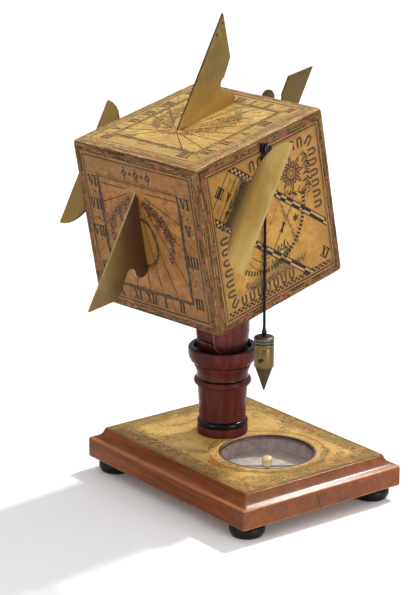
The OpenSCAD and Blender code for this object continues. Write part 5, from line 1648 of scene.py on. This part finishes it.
def arrises():
    """Edges of the fork's slot, rubbed pale: pale strips that are partly wear and partly a painted highlight along the
    edges.
    """
    neck = [(-21.6, 10.5), (-20.2, 10.9), (-17.4, 11.4), (-13.9, 11.8), (-6.0, 11.8)]

    def radius(z):
        for (z0, r0), (z1, r1) in zip(neck, neck[1:]):
            if z <= z1:
                return r0 + (r1 - r0) * (z - z0) / (z1 - z0)
        return neck[-1][1]

    verts, faces = [], []
    for sx in (-1, 1):
        for sy in (-1, 1):
            path = []
            for k in range(33):
                z = -21.6 + 15.0 * k / 32
                x = sx * (5.12 + 2.0 * max(0.0, (-18.0 - z) / 3.6) ** 2)
                path.append(Vector((x, sy * math.sqrt(radius(z) ** 2 - x * x), z)))
            base, n = len(verts), 8
            for k, p in enumerate(path):
                t = (path[min(k + 1, 32)] - path[max(k - 1, 0)]).normalized()
                out = Vector((p.x, p.y, 0)).normalized()
                e = t.cross(out).normalized()
                f = e.cross(t)
                wide = 0.04 + 0.26 * math.sin(math.pi * (k + 1.5) / 35) ** 0.5 * (0.8 + 0.2 * math.sin(k * 1.7))
                for j in range(n):
                    a = 2 * math.pi * j / n
                    verts.append(p + (e * math.cos(a) * wide + f * math.sin(a) * 0.14))
            for k in range(32):
                for j in range(n):
                    j2 = (j + 1) % n
                    faces.append((base + k * n + j, base + k * n + j2, base + (k + 1) * n + j2, base + (k + 1) * n + j))
            faces.append(tuple(base + j for j in range(n)))
            faces.append(tuple(base + 32 * n + j for j in range(n)))
    at = Matrix.Translation(PIN) @ Matrix.Rotation(SW, 4, "Z")
    ob = make("worn_highlit_arrises", [at @ v for v in verts], faces, [WORN_HIGHLIT_WOOD])
    settle(ob, "head", "mahogany")


arrises()


# ---------------------------------------------------------------- compass
def compass():
    at = Matrix.Translation((COMP.x * MM, COMP.y * MM, 0))
    r = BOWL_R
    settle(lathe("bowl_lining", [(r - 0.02, Z_BOWL), (r - 0.02, Z_GLASS), (r - 0.7, Z_GLASS), (r - 0.82, Z_GLASS - 0.15), (r - 0.8, Z_BOWL + 0.4), (r - 0.8, Z_BOWL)],
                 [LINING], at, 128), "base", "lining", "compass_lining")
    settle(lathe("compass_floor", [(0.6, Z_BOWL), (r - 0.82, Z_BOWL), (r - 0.82, Z_BOWL + 0.36), (r - 0.9, Z_BOWL + 0.4), (0.6, Z_BOWL + 0.4)],
                 [CARD], at, 128), "base", "card", "compass_card")
    # faded circle and ticks, and rust stains on the floor of the bowl
    pr = Print("compass_print", (COMP.x, COMP.y, Z_BOWL + 0.4), (1, 0, 0), (0, 1, 0), (0, 0, 1), lift=0.03)
    for rr, w in ((19.4, 0.25), (18.0, 0.16)):
        pr.ring(0, 0, rr, rr, w, FADED, 1, 96)
    for k in range(72):
        a = 2 * math.pi * k / 72
        pr.line((18.0 * math.cos(a), 18.0 * math.sin(a)), ((19.4 if k % 2 else 18.8) * math.cos(a), (19.4 if k % 2 else 18.8) * math.sin(a)), 0.16, FADED, 1)
    for k in range(8):
        a = 2 * math.pi * k / 8
        pr.line((11.0 * math.cos(a), 11.0 * math.sin(a)), (17.2 * math.cos(a), 17.2 * math.sin(a)), 0.2 if k % 2 else 0.32, FADED, 1)
    settle(pr.build(), "base", "card")
    settle(lathe("cover_glass", [(0, Z_GLASS), (r - 0.25, Z_GLASS), (r - 0.08, Z_GLASS + 0.15), (r - 0.08, Z_GLASS + 1.05), (r - 0.25, Z_GLASS + 1.2), (0, Z_GLASS + 1.2)],
                 [GLASS], at, 128), "base", "glass", "compass_glass")
    zr = Z_GLASS + 1.2
    settle(lathe("retaining_ring", [(r - 1.3, zr), (r - 0.02, zr), (r - 0.02, zr + 0.6), (r - 0.18, zr + 0.75), (r - 0.5, zr + 0.8), (r - 0.85, zr + 0.74), (r - 1.12, zr + 0.55),
                                    (r - 1.3, zr + 0.3), (r - 1.3, zr)], [BRASS_DULL, DARK_BRASS], at, 128, idx_of=lambda i: 1 if i >= 5 else 0), "base", "brass", "glass_ring")
    # needle: a bevelled lozenge with a blued north half
    nm = Matrix.Translation((COMP.x * MM, COMP.y * MM, (Z_BOWL + 2) * MM)) @ Matrix.Rotation(rad(52.4), 4, "Z")
    L, verts, faces, idx = 13.5, [], [], []
    for zz, sc in ((0.0, 0.9), (0.1, 1.0), (0.24, 1.0), (0.4, 0.55)):
        ring = []
        for x, y in ((L, 0), (6, 0.72), (2.0, 1.15), (1.5, 1.65), (0, 2.2), (-1.5, 1.65), (-2.0, 1.15), (-6, 0.72), (-L, 0), (-6, -0.72), (-2.0, -1.15), (-1.5, -1.65), (0, -2.2), (1.5, -1.65), (2.0, -1.15), (6, -0.72)):
            verts.append((x * (1 - (1 - sc) * 0.1), y * sc, zz))
    n = 16
    for lv in range(3):
        for k in range(n):
            j = (k + 1) % n
            faces.append((lv * n + k, lv * n + j, (lv + 1) * n + j, (lv + 1) * n + k))
            idx.append(1 if k < 4 or k >= 12 else 0)
    faces += [tuple(reversed(range(n))), tuple(range(3 * n, 4 * n))]
    idx += [0, 0]
    settle(make("magnet_needle", verts, faces, [PALE_STEEL, BLUED], idx, nm, 30), "needle", "steel", "compass_needle")
    cm = Matrix.Translation((COMP.x * MM, COMP.y * MM, Z_BOWL * MM))
    settle(lathe("needle_hub", [(0.85, 1.7), (1.15, 1.7), (1.2, 1.75), (1.2, 2.38), (2.1, 2.45), (2.4, 2.7), (2.4, 5.6), (2.35, 5.85), (2.2, 6.08), (2.02, 6.26), (1.9, 6.42), (1.6, 6.55), (0, 6.58)],
                 [BRASS_CLEAN], cm, 64), "needle", "brass", "needle_cap")


compass()


# ---------------------------------------------------------------- floor and light
def floor():
    me = bpy.data.meshes.new("floor")
    s = 6.0
    me.from_pydata([(-s, -s, 0), (s, -s, 0), (s, s, 0), (-s, s, 0)], [], [(0, 1, 2, 3)])
    m = Mat("pale_floor")
    n = m.noise(m.place(), 8, 3, 0.5)
    m.link(m.ramp(n, (0.3, (0.90, 0.90, 0.902)), (0.7, (0.93, 0.93, 0.932))), "Base Color")
    m.set(Roughness=0.7, Specular_IOR_Level=0.2)
    me.materials.append(m.m)
    ob = bpy.data.objects.new("floor", me)
    scene.collection.objects.link(ob)


floor()


def lamp(name, loc, target, size, power, color=(1, 1, 1), size_y=None, along=None):
    li = bpy.data.lights.new(name, "AREA")
    li.energy = power
    li.color = color
    li.shape = "RECTANGLE"
    li.size = size
    li.size_y = size_y or size
    ob = bpy.data.objects.new(name, li)
    scene.collection.objects.link(ob)
    ob.location = loc
    d = Vector(target) - Vector(loc)
    ob.rotation_mode = "QUATERNION"
    ob.rotation_quaternion = d.to_track_quat("-Z", "Y")
    if along:
        z = -d.normalized()
        x = (Vector(along) - z * z.dot(Vector(along))).normalized()
        ob.rotation_quaternion = Matrix((x, z.cross(x), z)).transposed().to_quaternion()
    return ob


def sun(name, direction, strength, spread, color=(1, 1, 1)):
    li = bpy.data.lights.new(name, "SUN")
    li.energy = strength
    li.angle = rad(spread)
    li.color = color
    ob = bpy.data.objects.new(name, li)
    scene.collection.objects.link(ob)
    ob.rotation_mode = "QUATERNION"
    ob.rotation_quaternion = (-Vector(direction)).to_track_quat("-Z", "Y")


sun("key", (-0.09, 0.625, 0.775), 2.30, 4.0, (1.0, 0.985, 0.96))
lamp("east_box", (1.55, 0.25, 0.42), (0, 0, 0.12), 0.7, 10.4, (1.0, 0.99, 0.97), 0.5)
card = lamp("shine_card", (-0.40, 0.93, 1.24), (0.05, -0.02, 0.016), 1.0, 58.0, (1.0, 0.98, 0.96), 0.2, (-0.95, 0, -0.31))
card.visible_diffuse = False
shiny = bpy.data.collections.new("polished_wood")
shiny.objects.link(bpy.data.objects["plinth_block"])
card.light_linking.receiver_collection = shiny
lamp("left_box", (0.1, -1.6, 0.60), (0, 0, 0.12), 0.8, 5.0, (1.0, 0.99, 0.98), 0.6)
world = bpy.data.worlds.new("studio")
scene.world = world
world.use_nodes = True
wt = world.node_tree
bg = wt.nodes["Background"]
bg.inputs["Strength"].default_value = 0.72
wc = wt.nodes.new("ShaderNodeTexCoord")
ws = wt.nodes.new("ShaderNodeSeparateXYZ")
wr = wt.nodes.new("ShaderNodeValToRGB")
wt.links.new(wc.outputs["Generated"], ws.inputs[0])
wt.links.new(ws.outputs["Z"], wr.inputs["Fac"])
wt.links.new(wr.outputs["Color"], bg.inputs["Color"])
for e, (pos, v) in zip(wr.color_ramp.elements, ((0.0, 0.30), (0.75, 1.2))):
    e.position = pos
    e.color = (v, v * 1.0, v * 1.01, 1)
